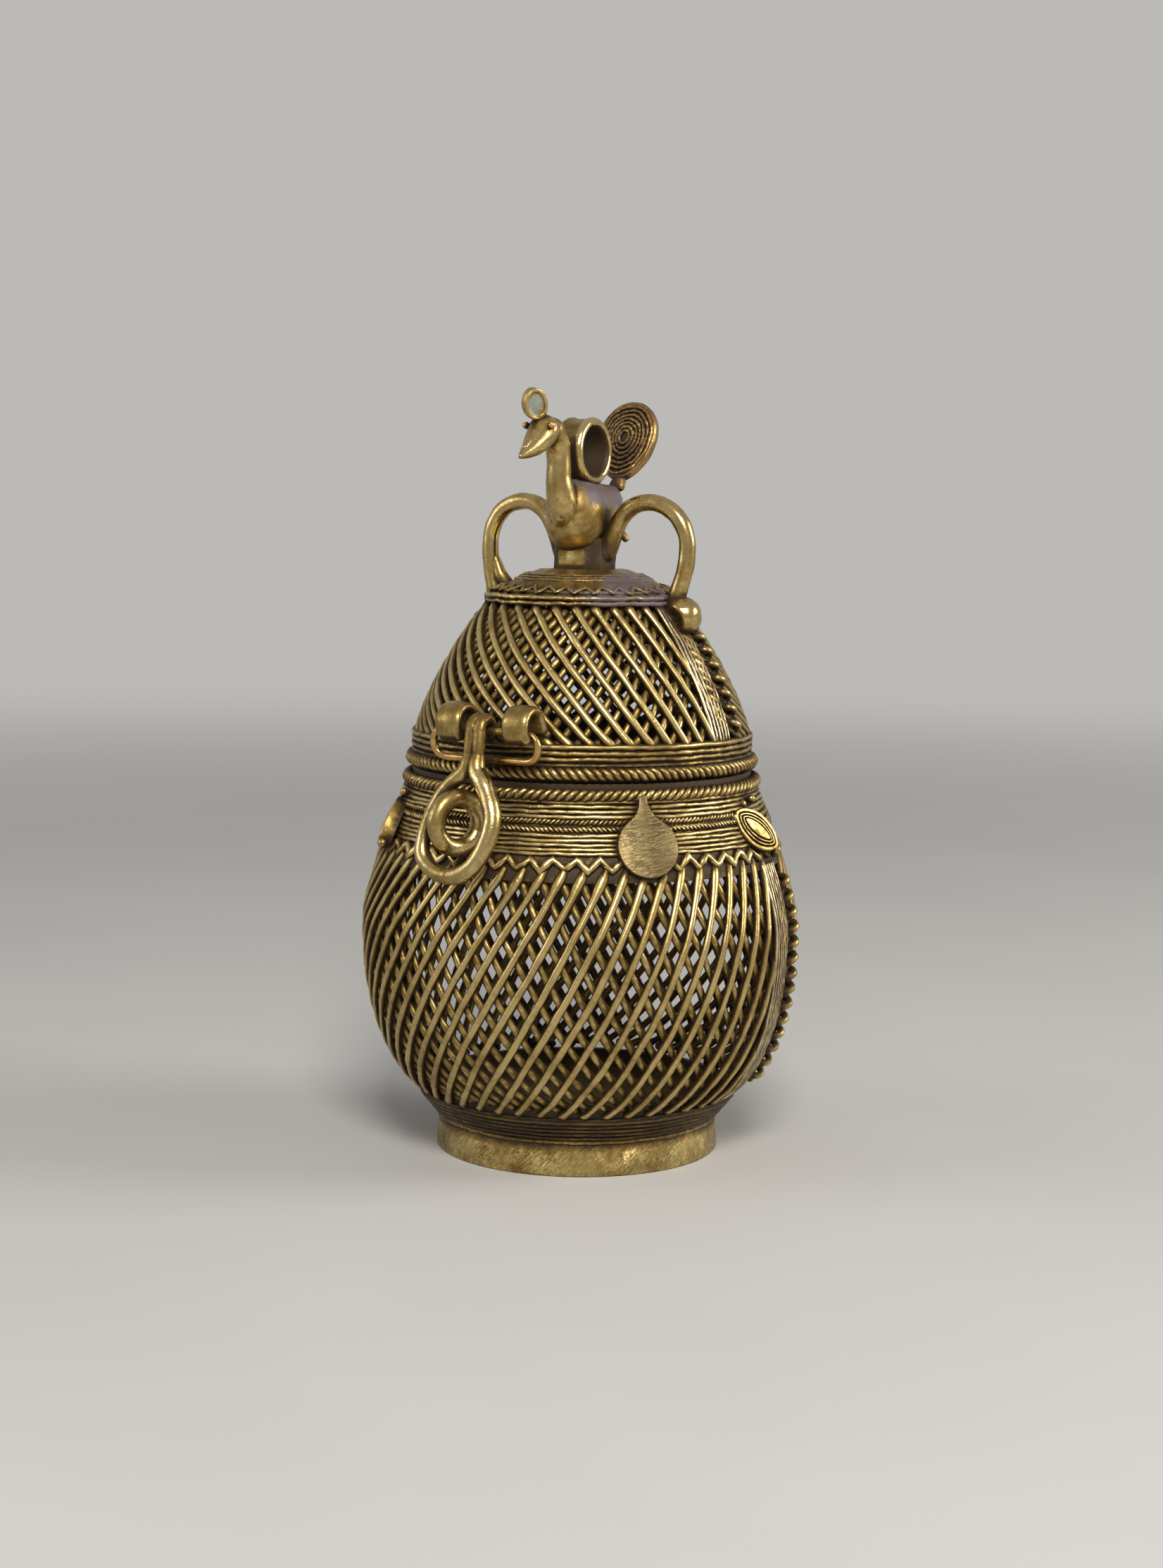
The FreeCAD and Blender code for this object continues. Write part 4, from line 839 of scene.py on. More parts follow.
@dataclass
class Foundry:
    """Casts wax in brass: makes each piece's object and sets it on its body."""

    groups: FinishGroups = field(default_factory=FinishGroups)
    pieces: dict[bpy.types.Object, float] = field(default_factory=dict)
    materials: dict[str, bpy.types.Material] = field(default_factory=dict)

    def cast(
        self, wax: Wax, node: str, body: str, finish: BrassFinish = ANTIQUE,
        oxide: Amount | None = None, painted_shade_and_wear: Amount | None = None,
    ) -> None:
        """Casts one piece, which stands for one node of the frame.

        Args:
            wax: the piece in wax, which is used up.
            node: the CAD node that it stands for.
            body: the body that it moves with.
            finish: its finish.
            oxide: how much film lies at a place, if any does.
            painted_shade_and_wear: how much darker a place is than its depth in the work makes it, mostly
                as painted shade, or, where negative, how much lighter wear leaves it, if any is.
        """
        bmesh.ops.scale(wax.mesh, vec=(MM,) * 3, verts=wax.mesh.verts)
        mesh = bpy.data.meshes.new("cast_" + node)
        wax.mesh.to_mesh(mesh)
        wax.mesh.free()
        mesh.shade_smooth()
        if finish.name not in self.materials:
            self.materials[finish.name] = finish.material(self.groups)
        mesh.materials.append(self.materials[finish.name])
        # Extra painted shade, and wear, go into the recess.
        for name, amount in (("oxide", oxide), ("recess", painted_shade_and_wear)):
            layer = mesh.attributes.new(name, "FLOAT", "POINT")
            if amount is not None:
                layer.data.foreach_set("value", [amount(vert.co / MM) for vert in mesh.vertices])
        piece = in_scene("cast_" + node, mesh)
        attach(piece, body)
        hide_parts(node)
        self.pieces[piece] = finish.rub
        LOG.info("cast %s: %d faces", node, len(mesh.polygons))


@dataclass
class RecessMap:
    """Finds how deep in the work each place lies, so that patina and painted shade can lie there."""

    cell: float = 0.45
    margin: int = 14
    finest: int = 24
    layers: tuple[tuple[tuple[int, int], Pairs], ...] = (
        ((3, 3), ((0.75, 1.15), (1.5, 0.9))), ((9, 7), ((2.6, 1.5),))
    )
    open_work: float = 0.28
    deepening: float = 0.75
    # Painted shade on faces that turn into the box.
    inside_shade: float = 0.6
    floor_drop: float = 3.0
    turned_in: float = -0.2
    rub_from: float = 0.86
    rub_span: float = 0.75
    limits: Pair = (-0.3, 1.3)

    @staticmethod
    def vectors(mesh: bpy.types.Mesh, what: str) -> np.ndarray:
        """One vector for each of a mesh's vertices."""
        found = np.empty(len(mesh.vertices) * 3, np.float32)
        mesh.vertices.foreach_get(what, found)
        return found.reshape(-1, 3)

    def samples(self, mesh: bpy.types.Mesh) -> np.ndarray:
        """Points all over a mesh, about a cell apart, in millimetres."""
        places = self.vectors(mesh, "co") / MM
        mesh.calc_loop_triangles()
        corners = np.empty(len(mesh.loop_triangles) * 3, np.int32)
        mesh.loop_triangles.foreach_get("vertices", corners)
        a, b, c = (places[corners.reshape(-1, 3)[:, i]] for i in range(3))
        longest = np.maximum(np.linalg.norm(b - a, axis=1), np.linalg.norm(c - a, axis=1))
        parts = np.clip(np.ceil(longest / self.cell), 1, self.finest).astype(int)
        found = [places]
        for count in np.unique(parts):
            chosen = parts == count
            for i in range(count + 1):
                for j in range(count + 1 - i):
                    p, q = i / count, j / count
                    found.append(a[chosen] * (1 - p - q) + b[chosen] * p + c[chosen] * q)
        return np.concatenate(found)

    @staticmethod
    def spread_out(grid: np.ndarray, widths: Sequence[int]) -> np.ndarray:
        """Averages a grid over a cube of cells of each width in turn."""
        for width in widths:
            for axis in range(3):
                total = np.cumsum(grid, axis=axis, dtype=np.float32)
                lead = np.roll(total, -(width // 2), axis=axis)
                trail = np.roll(total, width - width // 2, axis=axis)
                grid = (lead - trail) / width
        return grid

    @staticmethod
    def wall_facing(places: np.ndarray, normals: np.ndarray) -> np.ndarray:
        """How squarely each place faces out of the box's wall.

        Args:
            places: points in millimetres.
            normals: directions in which they face.

        Returns:
            1 for places that face straight out, 0 or less for sides and backs.
        """
        heights = np.linspace(0.0, OUTLINE.cap_top_z, 400)
        leans = []
        for z in heights:
            if z < OUTLINE.rim_z:
                leans.append(BODY_WALL.lean(z))
            elif z < OUTLINE.lid_base_z:
                leans.append((1.0, 0.0))
            else:
                leans.append((LID_WALL if z < OUTLINE.lid_top_z else CAP_WALL).lean(z))
        radial, upright = (np.interp(places[:, 2], heights, part) for part in zip(*leans))
        reach = np.maximum(np.hypot(places[:, 0], places[:, 1]), 1e-3)
        outward = (places[:, 0] * normals[:, 0] + places[:, 1] * normals[:, 1]) / reach
        return outward * radial + normals[:, 2] * upright

    def mark(self, pieces: dict[bpy.types.Object, float]) -> None:
        """Adds to each piece's recess, nothing where it is open and 1 deep in the work.

        Args:
            pieces: every cast piece, with how much of its sides a cloth misses.
        """
        clouds = [self.samples(piece.data) for piece in pieces]
        low = np.min([cloud.min(0) for cloud in clouds], axis=0) - self.margin * self.cell
        high = np.max([cloud.max(0) for cloud in clouds], axis=0) + self.margin * self.cell
        filled = np.zeros(np.ceil((high - low) / self.cell).astype(int) + 1, np.float32)
        for cloud in clouds:
            filled[tuple(((cloud - low) / self.cell).astype(int).T)] = 1.0
        probes = []
        for widths, tries in self.layers:
            grid = self.spread_out(filled, widths)
            probes += [(grid, *probe) for probe in tries]
        for piece, rub in pieces.items():
            mesh = piece.data
            places, normals = self.vectors(mesh, "co") / MM, self.vectors(mesh, "normal")
            depth = np.zeros(len(places))
            # How filled the space round each place is: an occlusion estimate, so hollows darken with
            # patina and with painted shade.
            for grid, out, weight in probes:
                at = tuple(((places + normals * out - low) / self.cell).astype(int).T)
                depth += weight * grid[at]
            outward = self.wall_facing(places, normals)
            heights = places[:, 2]
            walled = (heights < OUTLINE.lid_top_z) & (heights > OUTLINE.base_z - self.floor_drop)
            depth = np.clip((depth - self.open_work) / self.deepening, 0.0, 1.0)
            # Painted shade on the faces inside the box's walls.
            depth += self.inside_shade * (walled & (outward < self.turned_in))
            depth += rub * np.clip((self.rub_from - outward) / self.rub_span, 0.0, 1.0)
            recess = mesh.attributes["recess"].data
            painted_shade_and_wear = np.empty(len(places), np.float32)
            recess.foreach_get("value", painted_shade_and_wear)
            recess.foreach_set("value", np.clip(depth + painted_shade_and_wear, *self.limits).astype(np.float32))


@dataclass
class Foot:
    """Filed foot, the dish that closes the box and the threads under it."""

    radius: float = 29.3
    top_radius: float = 28.6
    clear: float = 0.06
    height: float = 7.0
    wall: float = 3.4
    dish: float = 2.2
    flat: float = 12.0
    threads: int = 5
    thread: float = 0.8
    proud: float = 0.15
    ridge: float = 1.2

    def build(self, foundry: Foundry) -> None:
        """Lays up and casts the foot's pieces."""
        low, high, top = self.radius, self.top_radius, self.height
        ring = Wax()
        ring.turned(
            [
                (low - self.wall, self.clear), (low - 0.1, self.clear), (low - 0.2, 2.4), (low - 0.4, 4.8),
                (high, top), (high - self.wall, top),
            ],
            steps=216,
        )
        foundry.cast(ring.roughen(0.05, 6.0, seed=1.0), "foot_ring", "base", FILED_FOOT)
        ridge = Wax()
        ridge.thread(high, top, self.ridge, seed=2.0, drift=0.12, sink=0.1)
        foundry.cast(ridge, "foot_ridge", "base", ROPED)
        base, z, floor = OUTLINE.base_radius, OUTLINE.base_z, self.height + self.dish
        dish = Wax()
        dish.turned(
            [
                (0.0, top), (self.flat, top), (high, top), (base - 1.6, z - 2.2), (base, z),
                (base - self.dish, z), (high - self.dish, floor), (self.flat, floor), (0.0, floor),
            ],
            soften=0.35,
        )
        # Painted shade: the dish inside the box is cast in the darker copy of the brass.
        foundry.cast(dish.roughen(0.09, 4.0, seed=3.0), "base_dish", "base", SHADOWED_BRASS)
        threads = Wax()
        for i in range(self.threads):
            share = (i + 1) / (self.threads + 1)
            radius = high + (base - high) * share + self.proud
            threads.thread(radius, top + (z - top) * share, self.thread, seed=4.0 + i, drift=0.14)
        # Painted shade: so are the threads under the box.
        foundry.cast(threads, "underside_threads", "base", SHADOWED_BRASS)


@dataclass
class Lattice:
    """Two crossed layers of wire in one wall, with the strips and coils that part them."""

    part: str
    body: str
    wall: Wall
    z_start: float
    z_end: float
    per_turn: int
    rib: float
    spans: Pair
    ease: float
    coil_from: float
    coil_to: float
    steps: int
    lap: float
    bend: float = 1.0
    most: float = 120.0
    flat: float = 1.28
    inner_span: float = 45.0
    wire: float = 1.3
    inner_depth: float = 1.83
    strip_thread: float = 1.1
    strip_count: int = 6
    coil_radius: float = 1.75
    coil_wire: float = 1.5
    coil_pitch: float = 3.2
    coil_steps: int = 12
    least: float = 0.12
    sunk: float = 0.08
    drawn: float = 0.94
    lap_turn: float = 0.02
    end_swell: float = 0.3
    swell_reach: float = 1.1
    roam: Waves = ((0.0, 4.0, 0.55), (5.0, 13.0, 0.2))
    pressed: Waves = ((0.4, 9.0, 0.12),)
    lumps: Waves = ((0.8, 11.0, 0.16), (1.7, 24.0, 0.12))

    def course(self) -> tuple[np.ndarray, np.ndarray]:
        """Shares of a slanted wire's turn, and the heights that it has reached there."""
        heights = np.linspace(self.z_start, self.z_end, 161)
        radii = np.array([self.wall.radius_at(z) for z in heights])
        runs = np.hypot(np.diff(radii), np.diff(heights)) * 2 / (radii[1:] + radii[:-1])
        shares = np.concatenate([[0.0], np.cumsum(runs)])
        shares /= shares[-1]
        return shares * (1 - self.ease + self.ease * shares), heights

    def layer(self, way: int, spans: Pair, depth: float, seed: float) -> Wax:
        """Lays one layer of slanted wires in two half turns that fan out from the ribs.

        Args:
            way: 1 or -1, which way they slant.
            spans: turn of the steepest and of the flattest wire, in degrees.
            depth: how deep the wires' middle lies in the wall.
            seed: which unevenness they have.

        Returns:
            The layer in wax.
        """
        table = self.course()
        pitch = 360.0 / self.per_turn
        steep, slant = spans
        wax = Wax()
        for high in (self.rib, self.rib + 180.0):
            low = high - 180.0
            for i in range(2 * self.per_turn):
                start = low - 180.0 + pitch * (i + 0.5)
                round_by = (high - start) / 180.0
                round_by = round_by**self.bend if round_by > 0 else round_by
                span = min(steep + (slant - steep) * round_by, self.most)
                if span <= 0:
                    continue
                ends = sorted(((low - start) * way / span, (high - start) * way / span))
                near, far = max(ends[0], 0.0), min(ends[1], 1.0)
                if far - near < self.least:
                    continue
                self.strand(wax, (start, way * span), (near, far), depth, seed + i + high, table)
        return wax

    def strand(
        self, wax: Wax, course: Pair, ends: Pair, depth: float, seed: float,
        table: tuple[np.ndarray, np.ndarray],
    ) -> None:
        """Lays one slanted wire by hand.

        Args:
            wax: the layer that it joins.
            course: azimuth that it starts from, and its whole turn.
            ends: shares of its way that it covers.
            depth: how deep its middle lies in the wall.
            seed: which unevenness it has.
            table: shares and heights of the way.
        """
        start, span = course
        near, far = ends
        count = max(round(self.steps * (far - near)), 5)
        lap = copysign(self.lap, self.z_start - self.z_end) if near == 0.0 else 0.0
        points, radii, outs = [], [], []
        for i in range(-1 if lap else 0, count + 1):
            share = near + (far - near) * i / count
            z = float(np.interp(share, *table)) + (lap if i < 0 else 0.0)
            azimuth = start + span * max(share, -self.lap_turn) + waver(seed, share, self.roam)
            deep = depth + self.sunk + waver(seed, share, self.pressed)
            points.append(self.wall.point(azimuth, z, deep))
            outs.append(self.wall.outward(azimuth, z))
            from_end = (min(i, count - i) - 0.5) / self.swell_reach
            swell = self.end_swell * (1.0 + sway(seed + 2.2, share)) * exp(-(from_end**2))
            radii.append(self.wire / 2 * (self.drawn + waver(seed, share, self.lumps) + swell))
        wax.wire(points, radii, outward=outs, flat=self.flat)

    def strips(self) -> Wax:
        """Lays the upright threads side by side at the two ribs."""
        wax = Wax()
        count = self.steps + 6
        for middle in (self.rib, self.rib + 180.0):
            for k in range(self.strip_count):
                aside = (k - (self.strip_count - 1) / 2) * self.strip_thread
                points, radii, outs = [], [], []
                for i in range(count + 1):
                    z = self.z_start + (self.z_end - self.z_start) * i / count
                    off = aside + 0.1 * sway(middle + k, z * 0.25)
                    azimuth = middle + degrees(off / self.wall.radius_at(z))
                    points.append(self.wall.point(azimuth, z, 0.5 + 0.1 * sway(middle + k + 0.5, z * 0.4)))
                    outs.append(self.wall.outward(azimuth, z))
                    radii.append(self.strip_thread / 2 * (0.86 + 0.16 * sway(middle - k, z * 0.6)))
                wax.wire(points, radii, outward=outs)
        return wax

    def coils(self) -> Wax:
        """Winds the coils beside the strips."""
        wax = Wax()
        beside = self.strip_count * self.strip_thread / 2 + self.coil_radius
        turn_radius = self.coil_radius - self.coil_wire / 2
        for middle in (self.rib, self.rib + 180.0):
            z, turn = self.coil_from, 0.0
            way = 1.0 if self.coil_to > self.coil_from else -1.0
            points, radii = [], []
            while (self.coil_to - z) * way > 0:
                azimuth = middle + degrees(beside / self.wall.radius_at(z))
                seat = self.wall.seat(azimuth, z)
                spot = Vector((turn_radius * cos(turn), 0.0, turn_radius * sin(turn)))
                points.append(seat @ spot)
                radii.append(self.coil_wire / 2 * (0.97 + 0.1 * sway(middle, turn * 0.7)))
                radial, _ = self.wall.lean(z)
                step = way * self.coil_pitch * radial / self.coil_steps
                z += step * (1.0 + 0.15 * sway(middle + 2.0, z * 0.3))
                turn += 2 * pi / self.coil_steps
            wax.wire(points, radii)
        return wax

    def build(self, foundry: Foundry) -> None:
        """Lays up and casts the wall's four pieces."""
        outer = self.layer(way=-1, spans=self.spans, depth=self.wire / 2, seed=1.0)
        foundry.cast(outer, f"{self.part}_lattice_outer", self.body, LATTICE)
        inner = self.layer(way=1, spans=(self.inner_span,) * 2, depth=self.inner_depth, seed=2.5)
        foundry.cast(inner, f"{self.part}_lattice_inner", self.body, INNER)
        foundry.cast(self.strips(), f"{self.part}_rib_strips", self.body, SILVERY)
        foundry.cast(self.coils(), f"{self.part}_rib_coils", self.body, ROPED)


def zigzag(
    wall: Wall, middle_z: float, height: float, pitch: float, diameter: float, seed: float,
    sink: float = -0.2,
) -> Wax:
    """Bends a closed zigzag of wire round a wall.

    Args:
        wall: the wall that it lies on.
        middle_z: height of its middle.
        height: its height over all.
        pitch: distance between its tops.
        diameter: thickness of the wire.
        seed: which unevenness it has.
        sink: how deep its middle lies in the wall, as a share of its thickness.

    Returns:
        The zigzag in wax.
    """
    waves = round(2 * pi * wall.radius_at(middle_z) / pitch)
    per_wave = 8
    points, radii, outs = [], [], []
    for i in range(waves * per_wave):
        share = i / per_wave
        azimuth = 360.0 * share / waves
        rise = 4.0 * abs(share % 1.0 - 0.5) - 1.0
        rise = -copysign(abs(rise) ** 1.15, rise)
        uneven = 1.0 + 0.4 * ring_sway(seed, azimuth, 14.0)
        rise *= (height - diameter) / 2 * uneven
        z = middle_z + rise + 0.3 * ring_sway(seed + 4.0, azimuth, 11.0)
        depth = (sink + 0.2 * ring_sway(seed + 6.0, azimuth, 18.0)) * diameter
        points.append(wall.point(azimuth, z, depth))
        outs.append(wall.outward(azimuth, z))
        radii.append(diameter / 2 * (1.0 + 0.36 * ring_sway(seed + 2.0, azimuth, 42.0)))
    wax = Wax()
    wax.wire(points, radii, outward=outs, closed=True)
    return wax


@dataclass
class Collar:
    """The band round the box's mouth with its threads, plait, zigzag, ledge and rope."""

    base_z: float = 60.5
    top_z: float = 75.8
    wall: float = 2.0
    thread: float = 1.0
    wave_z: float = 63.8
    wave_height: float = 3.6
    lower_z: float = 67.5
    lower_step: float = 0.84
    plait_z: float = 71.0
    plait: float = 1.55
    upper_z: float = 74.04
    mouth: float = 31.6
    ledge: float = 34.675
    ledge_top: float = 79.0
    rope_radius: float = 35.4
    rope_z: float = 76.6
    rope: float = 2.9
    rope_lays: int = 45
    plait_lays: int = 84
    rubbed: float = -0.2
    wiped: float = -0.15
    # Painted shade at the band's lower edge, under the zigzag.
    edge_shade: float = 0.65
    edge_reach: float = 1.2
    band_rub: float = 0.25

    def band(self) -> Wax:
        """Turns the band itself."""
        heights = [self.base_z + (self.top_z - self.base_z) * i / 8 for i in range(9)]
        out = [(OUTLINE.collar_radius(z), z) for z in heights]
        back = [(OUTLINE.collar_radius(z) - self.wall, z) for z in reversed(heights)]
        wax = Wax()
        wax.turned(out + back, steps=180, soften=0.2)
        return wax.roughen(0.08, 3.0, seed=6.0)

    def threads(self, middle_z: float, count: int, step: float, proud: float, seed: float) -> Wax:
        """Lays threads one above the other on the band.

        Args:
            middle_z: height of their middle.
            count: how many there are.
            step: height from one to the next.
            proud: how far their middles stand off the band.
            seed: which unevenness they have.

        Returns:
            The threads in wax.
        """
        wax = Wax()
        for i in range(count):
            z = middle_z + (i - (count - 1) / 2) * step
            radius = OUTLINE.collar_radius(z) + proud
            wax.thread(radius, z, self.thread, seed=seed + i, drift=0.2, sink=0.15)
        return wax

    def build(self, foundry: Foundry) -> None:
        """Lays up and casts the collar's pieces."""
        foundry.cast(self.band(), "collar_wall", "base", SUNK, painted_shade_and_wear=self.under_edge)
        wave = zigzag(COLLAR_WALL, self.wave_z, self.wave_height, pitch=4.5, diameter=1.5, seed=11.0)
        wave.roughen(0.3, 1.0, seed=13.0)
        foundry.cast(wave, "collar_wave_wire", "base", ROPED, painted_shade_and_wear=evenly(self.wiped))
        lower = self.threads(self.lower_z, count=5, step=self.lower_step, proud=0.15, seed=20.0)
        foundry.cast(lower, "collar_lower_threads", "base", THREADED, painted_shade_and_wear=evenly(self.rubbed))
        plait = Wax()
        for hand in (-1, 1):
            z = self.plait_z + hand * 0.46 * self.plait
            radius = OUTLINE.collar_radius(z) - 0.1
            plait.rope(radius, z, self.plait, lays=self.plait_lays, hand=hand, seed=30.0 + hand)
        plait.roughen(0.14, 1.2, seed=14.0)
        foundry.cast(plait, "collar_plait_ring", "base", ROPED, painted_shade_and_wear=evenly(self.wiped))
        upper = self.threads(self.upper_z, count=4, step=self.thread * 0.92, proud=0.4, seed=40.0)
        foundry.cast(upper, "collar_upper_threads", "base", THREADED, painted_shade_and_wear=evenly(self.rubbed))
        ledge = Wax()
        ledge.turned(tube(self.mouth, self.ledge, self.top_z, self.ledge_top))
        # Painted shade: the ledge inside the mouth is cast in the darker copy of the brass.
        foundry.cast(ledge.roughen(-0.05, 4.0, seed=8.0), "body_rim", "base", SHADOWED_BRASS)
        rope = Wax()
        rope.rope(self.rope_radius, self.rope_z, self.rope, lays=self.rope_lays, hand=1, seed=50.0)
        foundry.cast(rope.roughen(0.1, 1.3, seed=19.0), "body_rope", "base", ROPED)

    def under_edge(self, spot: Vector) -> float:
        """Painted shade along the band's lower edge, under the zigzag, while the rest stays rubbed."""
        return self.edge_shade * ramp(spot.z, self.wave_z, self.wave_z - self.edge_reach) - self.band_rub


@dataclass
class Ornaments:
    """The filed gate disc, and the leaves with their beads."""

    disc_at: float = 48.8
    disc_z: float = 66.8
    disc_radius: float = 6.05
    disc_proud: float = 1.5
    disc_back: float = 2.0
    stem_top: float = 10.3
    stem_half: float = 0.8
    stem_turn: float = 4.0
    shoulder: float = 42.0
    flare: float = 2.3
    droop: float = 0.85
    petal_z: float = 68.0
    petal_length: float = 12.2
    petal_width: float = 7.4
    petal_proud: float = 1.3
    petal_back: float = 1.3
    petal_slant: float = 42.0
    petal_lift: float = 20.0
    petal_off: float = 0.6
    petal_point: float = 1.35
    petal_edge: Pairs = ((0.25, 0.25), (0.55, 0.0))
    petal_ridge: Pairs = ((0.16, -0.5), (0.1, 0.0), (0.16, 0.62), (0.3, 0.0))
    petal_ridges: int = 3
    bead: float = 2.3
    petals_at: Row = (91.0, 136.0, 226.0, 271.0, 316.0)
    beads_at: Triples = (
        (-0.7, 5.7, 0.9), (2.2, 6.2, 0.85), (-4.5, 3.5, 1.15), (4.3, -4.9, 1.05)
    )

    def disc_outline(self, spot: Vector) -> Vector:
        """The disc's outline, drawn up at its top into the stem."""
        turn = degrees(atan2(abs(spot.x), spot.y))
        if turn >= self.shoulder:
            return spot * self.disc_radius
        angle = radians(self.shoulder)
        side, low = self.disc_radius * sin(angle), self.disc_radius * cos(angle)
        share = max(turn - self.stem_turn, 0.0) / (self.shoulder - self.stem_turn)
        half = self.stem_half * min(turn / self.stem_turn, 1.0)
        half += (side - self.stem_half) * share**self.flare
        height = self.stem_top + (low - self.stem_top) * share**self.droop
        return Vector((copysign(half, spot.x), height, 0.0))

    def leaf_outline(self, spot: Vector) -> Vector:
        """A leaf's outline, pointed at both ends."""
        side = self.petal_width / 2 * copysign(abs(spot.x) ** self.petal_point, spot.x)
        return Vector((side, self.petal_length / 2 * spot.y, 0.0))

    def build(self, foundry: Foundry) -> None:
        """Lays up and casts the ornaments."""
        disc = Wax()
        seat = COLLAR_WALL.seat(self.disc_at, self.disc_z)
        disc.plate(self.disc_outline, -self.disc_back, self.disc_proud, seat, soften=0.14, segments=90)
        foundry.cast(disc, "gate_disc", "base", FILED_DISC)
        petals, beads = Wax(), Wax()
        steps = self.petal_edge + self.petal_ridge * self.petal_ridges
        slant = Matrix.Rotation(radians(self.petal_slant), 4, "Z")
        tilt = Matrix.Rotation(radians(-self.petal_lift), 4, "Y")
        lift = Matrix.Translation((0.0, 0.0, self.petal_off)) @ tilt
        for azimuth in self.petals_at:
            seat = COLLAR_WALL.seat(azimuth, self.petal_z) @ lift
            petals.plate(
                self.leaf_outline, -self.petal_back, self.petal_proud, seat @ slant, terraces=steps,
                soften=0.09,
            )
            for k, (across, along, size) in enumerate(self.beads_at):
                spot = seat @ Vector((across, along, self.bead / 8))
                beads.ball(spot, self.bead / 2 * size, seed=azimuth + k, dents=0.12)
        foundry.cast(petals.roughen(0.08, 1.4, seed=12.0), "petal_plates", "base")
        foundry.cast(beads, "petal_beads", "base", SMOOTH)


@dataclass
class Hinge:
    """Two lugs on the box, a knuckle on the lid and the pin through them."""

    y: float = 39.1
    z: float = 79.0
    barrel: float = 2.6
    pin: float = 1.0
    lid_bore: float = 1.06
    knuckle_half: float = 3.0
    lug_from: float = 3.4
    lug_to: float = 8.7
    head: float = 1.8
    head_length: float = 1.0
    head_face: float = 0.7
    head_round: float = 0.35
    pin_clear: float = 0.02
    leaf_root: float = 0.8
    leaf: float = 7.4
    leaf_thick: float = 2.2
    leaf_lift: float = 50.0
    lug_lift: float = -70.0

    def level(self) -> Matrix:
        """Place that lays an upright turned shape along the hinge."""
        return Matrix.Translation((0.0, self.y, self.z)) @ Matrix.Rotation(pi / 2, 4, "Y")

    def knuckle(self, wax: Wax, x_from: float, x_to: float, bore: float, lift: float) -> None:
        """Rolls one barrel with its leaf.

        Args:
            wax: the piece that it joins.
            x_from: its left end.
            x_to: its right end.
            bore: radius of its bore.
            lift: angle of its leaf above the way to the box's axis.
        """
        wax.turned(tube(bore, self.barrel, x_from, x_to), steps=40, place=self.level())
        angle = radians(lift)
        axis = Vector((x_from, self.y, self.z))
        along = forward(cos(angle), sin(angle))
        aside = forward(-sin(angle), cos(angle)) * (self.leaf_thick / 2)
        near, far = along * (self.barrel - self.leaf_root), along * self.leaf
        corners = [axis + aside + near, axis + aside + far, axis - aside + far, axis - aside + near]
        wax.slab(corners, Vector((x_to - x_from, 0.0, 0.0)))

    def build(self, foundry: Foundry) -> None:
        """Lays up and casts the hinge."""
        lugs = Wax()
        self.knuckle(lugs, -self.lug_to, -self.lug_from, self.pin, self.lug_lift)
        self.knuckle(lugs, self.lug_from, self.lug_to, self.pin, self.lug_lift)
        foundry.cast(lugs, "hinge_lugs", "base")
        middle = Wax()
        self.knuckle(middle, -self.knuckle_half, self.knuckle_half, self.lid_bore, self.leaf_lift)
        foundry.cast(middle, "lid_knuckle", "lid")
        pin = Wax()
        end, lug = self.lug_to + self.head_length, self.lug_to
        face, thin = self.head * self.head_face, self.pin - self.pin_clear
        pin.turned(
            [
                (0.0, -end), (face, -end), (self.head, -end + self.head_round), (self.head, -lug),
                (thin, -lug), (thin, lug), (self.head, lug), (self.head, end - self.head_round),
                (face, end), (0.0, end),
            ],
            steps=32, soften=0.12, place=self.level(),
        )
        foundry.cast(pin, "hinge_pin", "base", WIRE)


@dataclass
class LidBand:
    """The lid's band with its rope and threads."""

    inner: float = 31.6
    radius: float = 34.2
    bottom_z: float = 79.3
    top_z: float = 86.4
    rope_radius: float = 34.68
    rope_z: float = 80.7
    rope: float = 3.0
    rope_lays: int = 44
    thread: float = 1.15
    threads_z: float = 84.1
    threads: int = 4
    first_thread: float = 0.82
    next_threads: float = 0.98

    def build(self, foundry: Foundry) -> None:
        """Lays up and casts the band's pieces."""
        band = Wax()
        band.turned(tube(self.inner, self.radius, self.bottom_z, self.top_z), steps=160, soften=0.35)
        foundry.cast(band.roughen(-0.05, 3.5, seed=15.0), "lid_rim_wall", "lid", SUNK)
        rope = Wax()
        rope.rope(self.rope_radius, self.rope_z, self.rope, lays=self.rope_lays, hand=-1, seed=60.0)
        foundry.cast(rope.roughen(0.1, 1.3, seed=21.0), "lid_rope", "lid", ROPED)
        threads = Wax()
        for i in range(self.threads):
            z = self.threads_z + (i - (self.threads - 1) / 2) * self.thread
            thick = self.thread * (self.next_threads if i else self.first_thread)
            threads.thread(self.radius + 0.2 * self.thread, z, thick, seed=70.0 + i, drift=0.17, sink=0.1)
        foundry.cast(threads, "lid_threads", "lid", THREADED)


def right_side_film(spot: Vector) -> float:
    """Grey film on the right of the cap and of the block."""
    return 0.04 + 0.56 * ramp(spot.x, 1.0, 14.0)


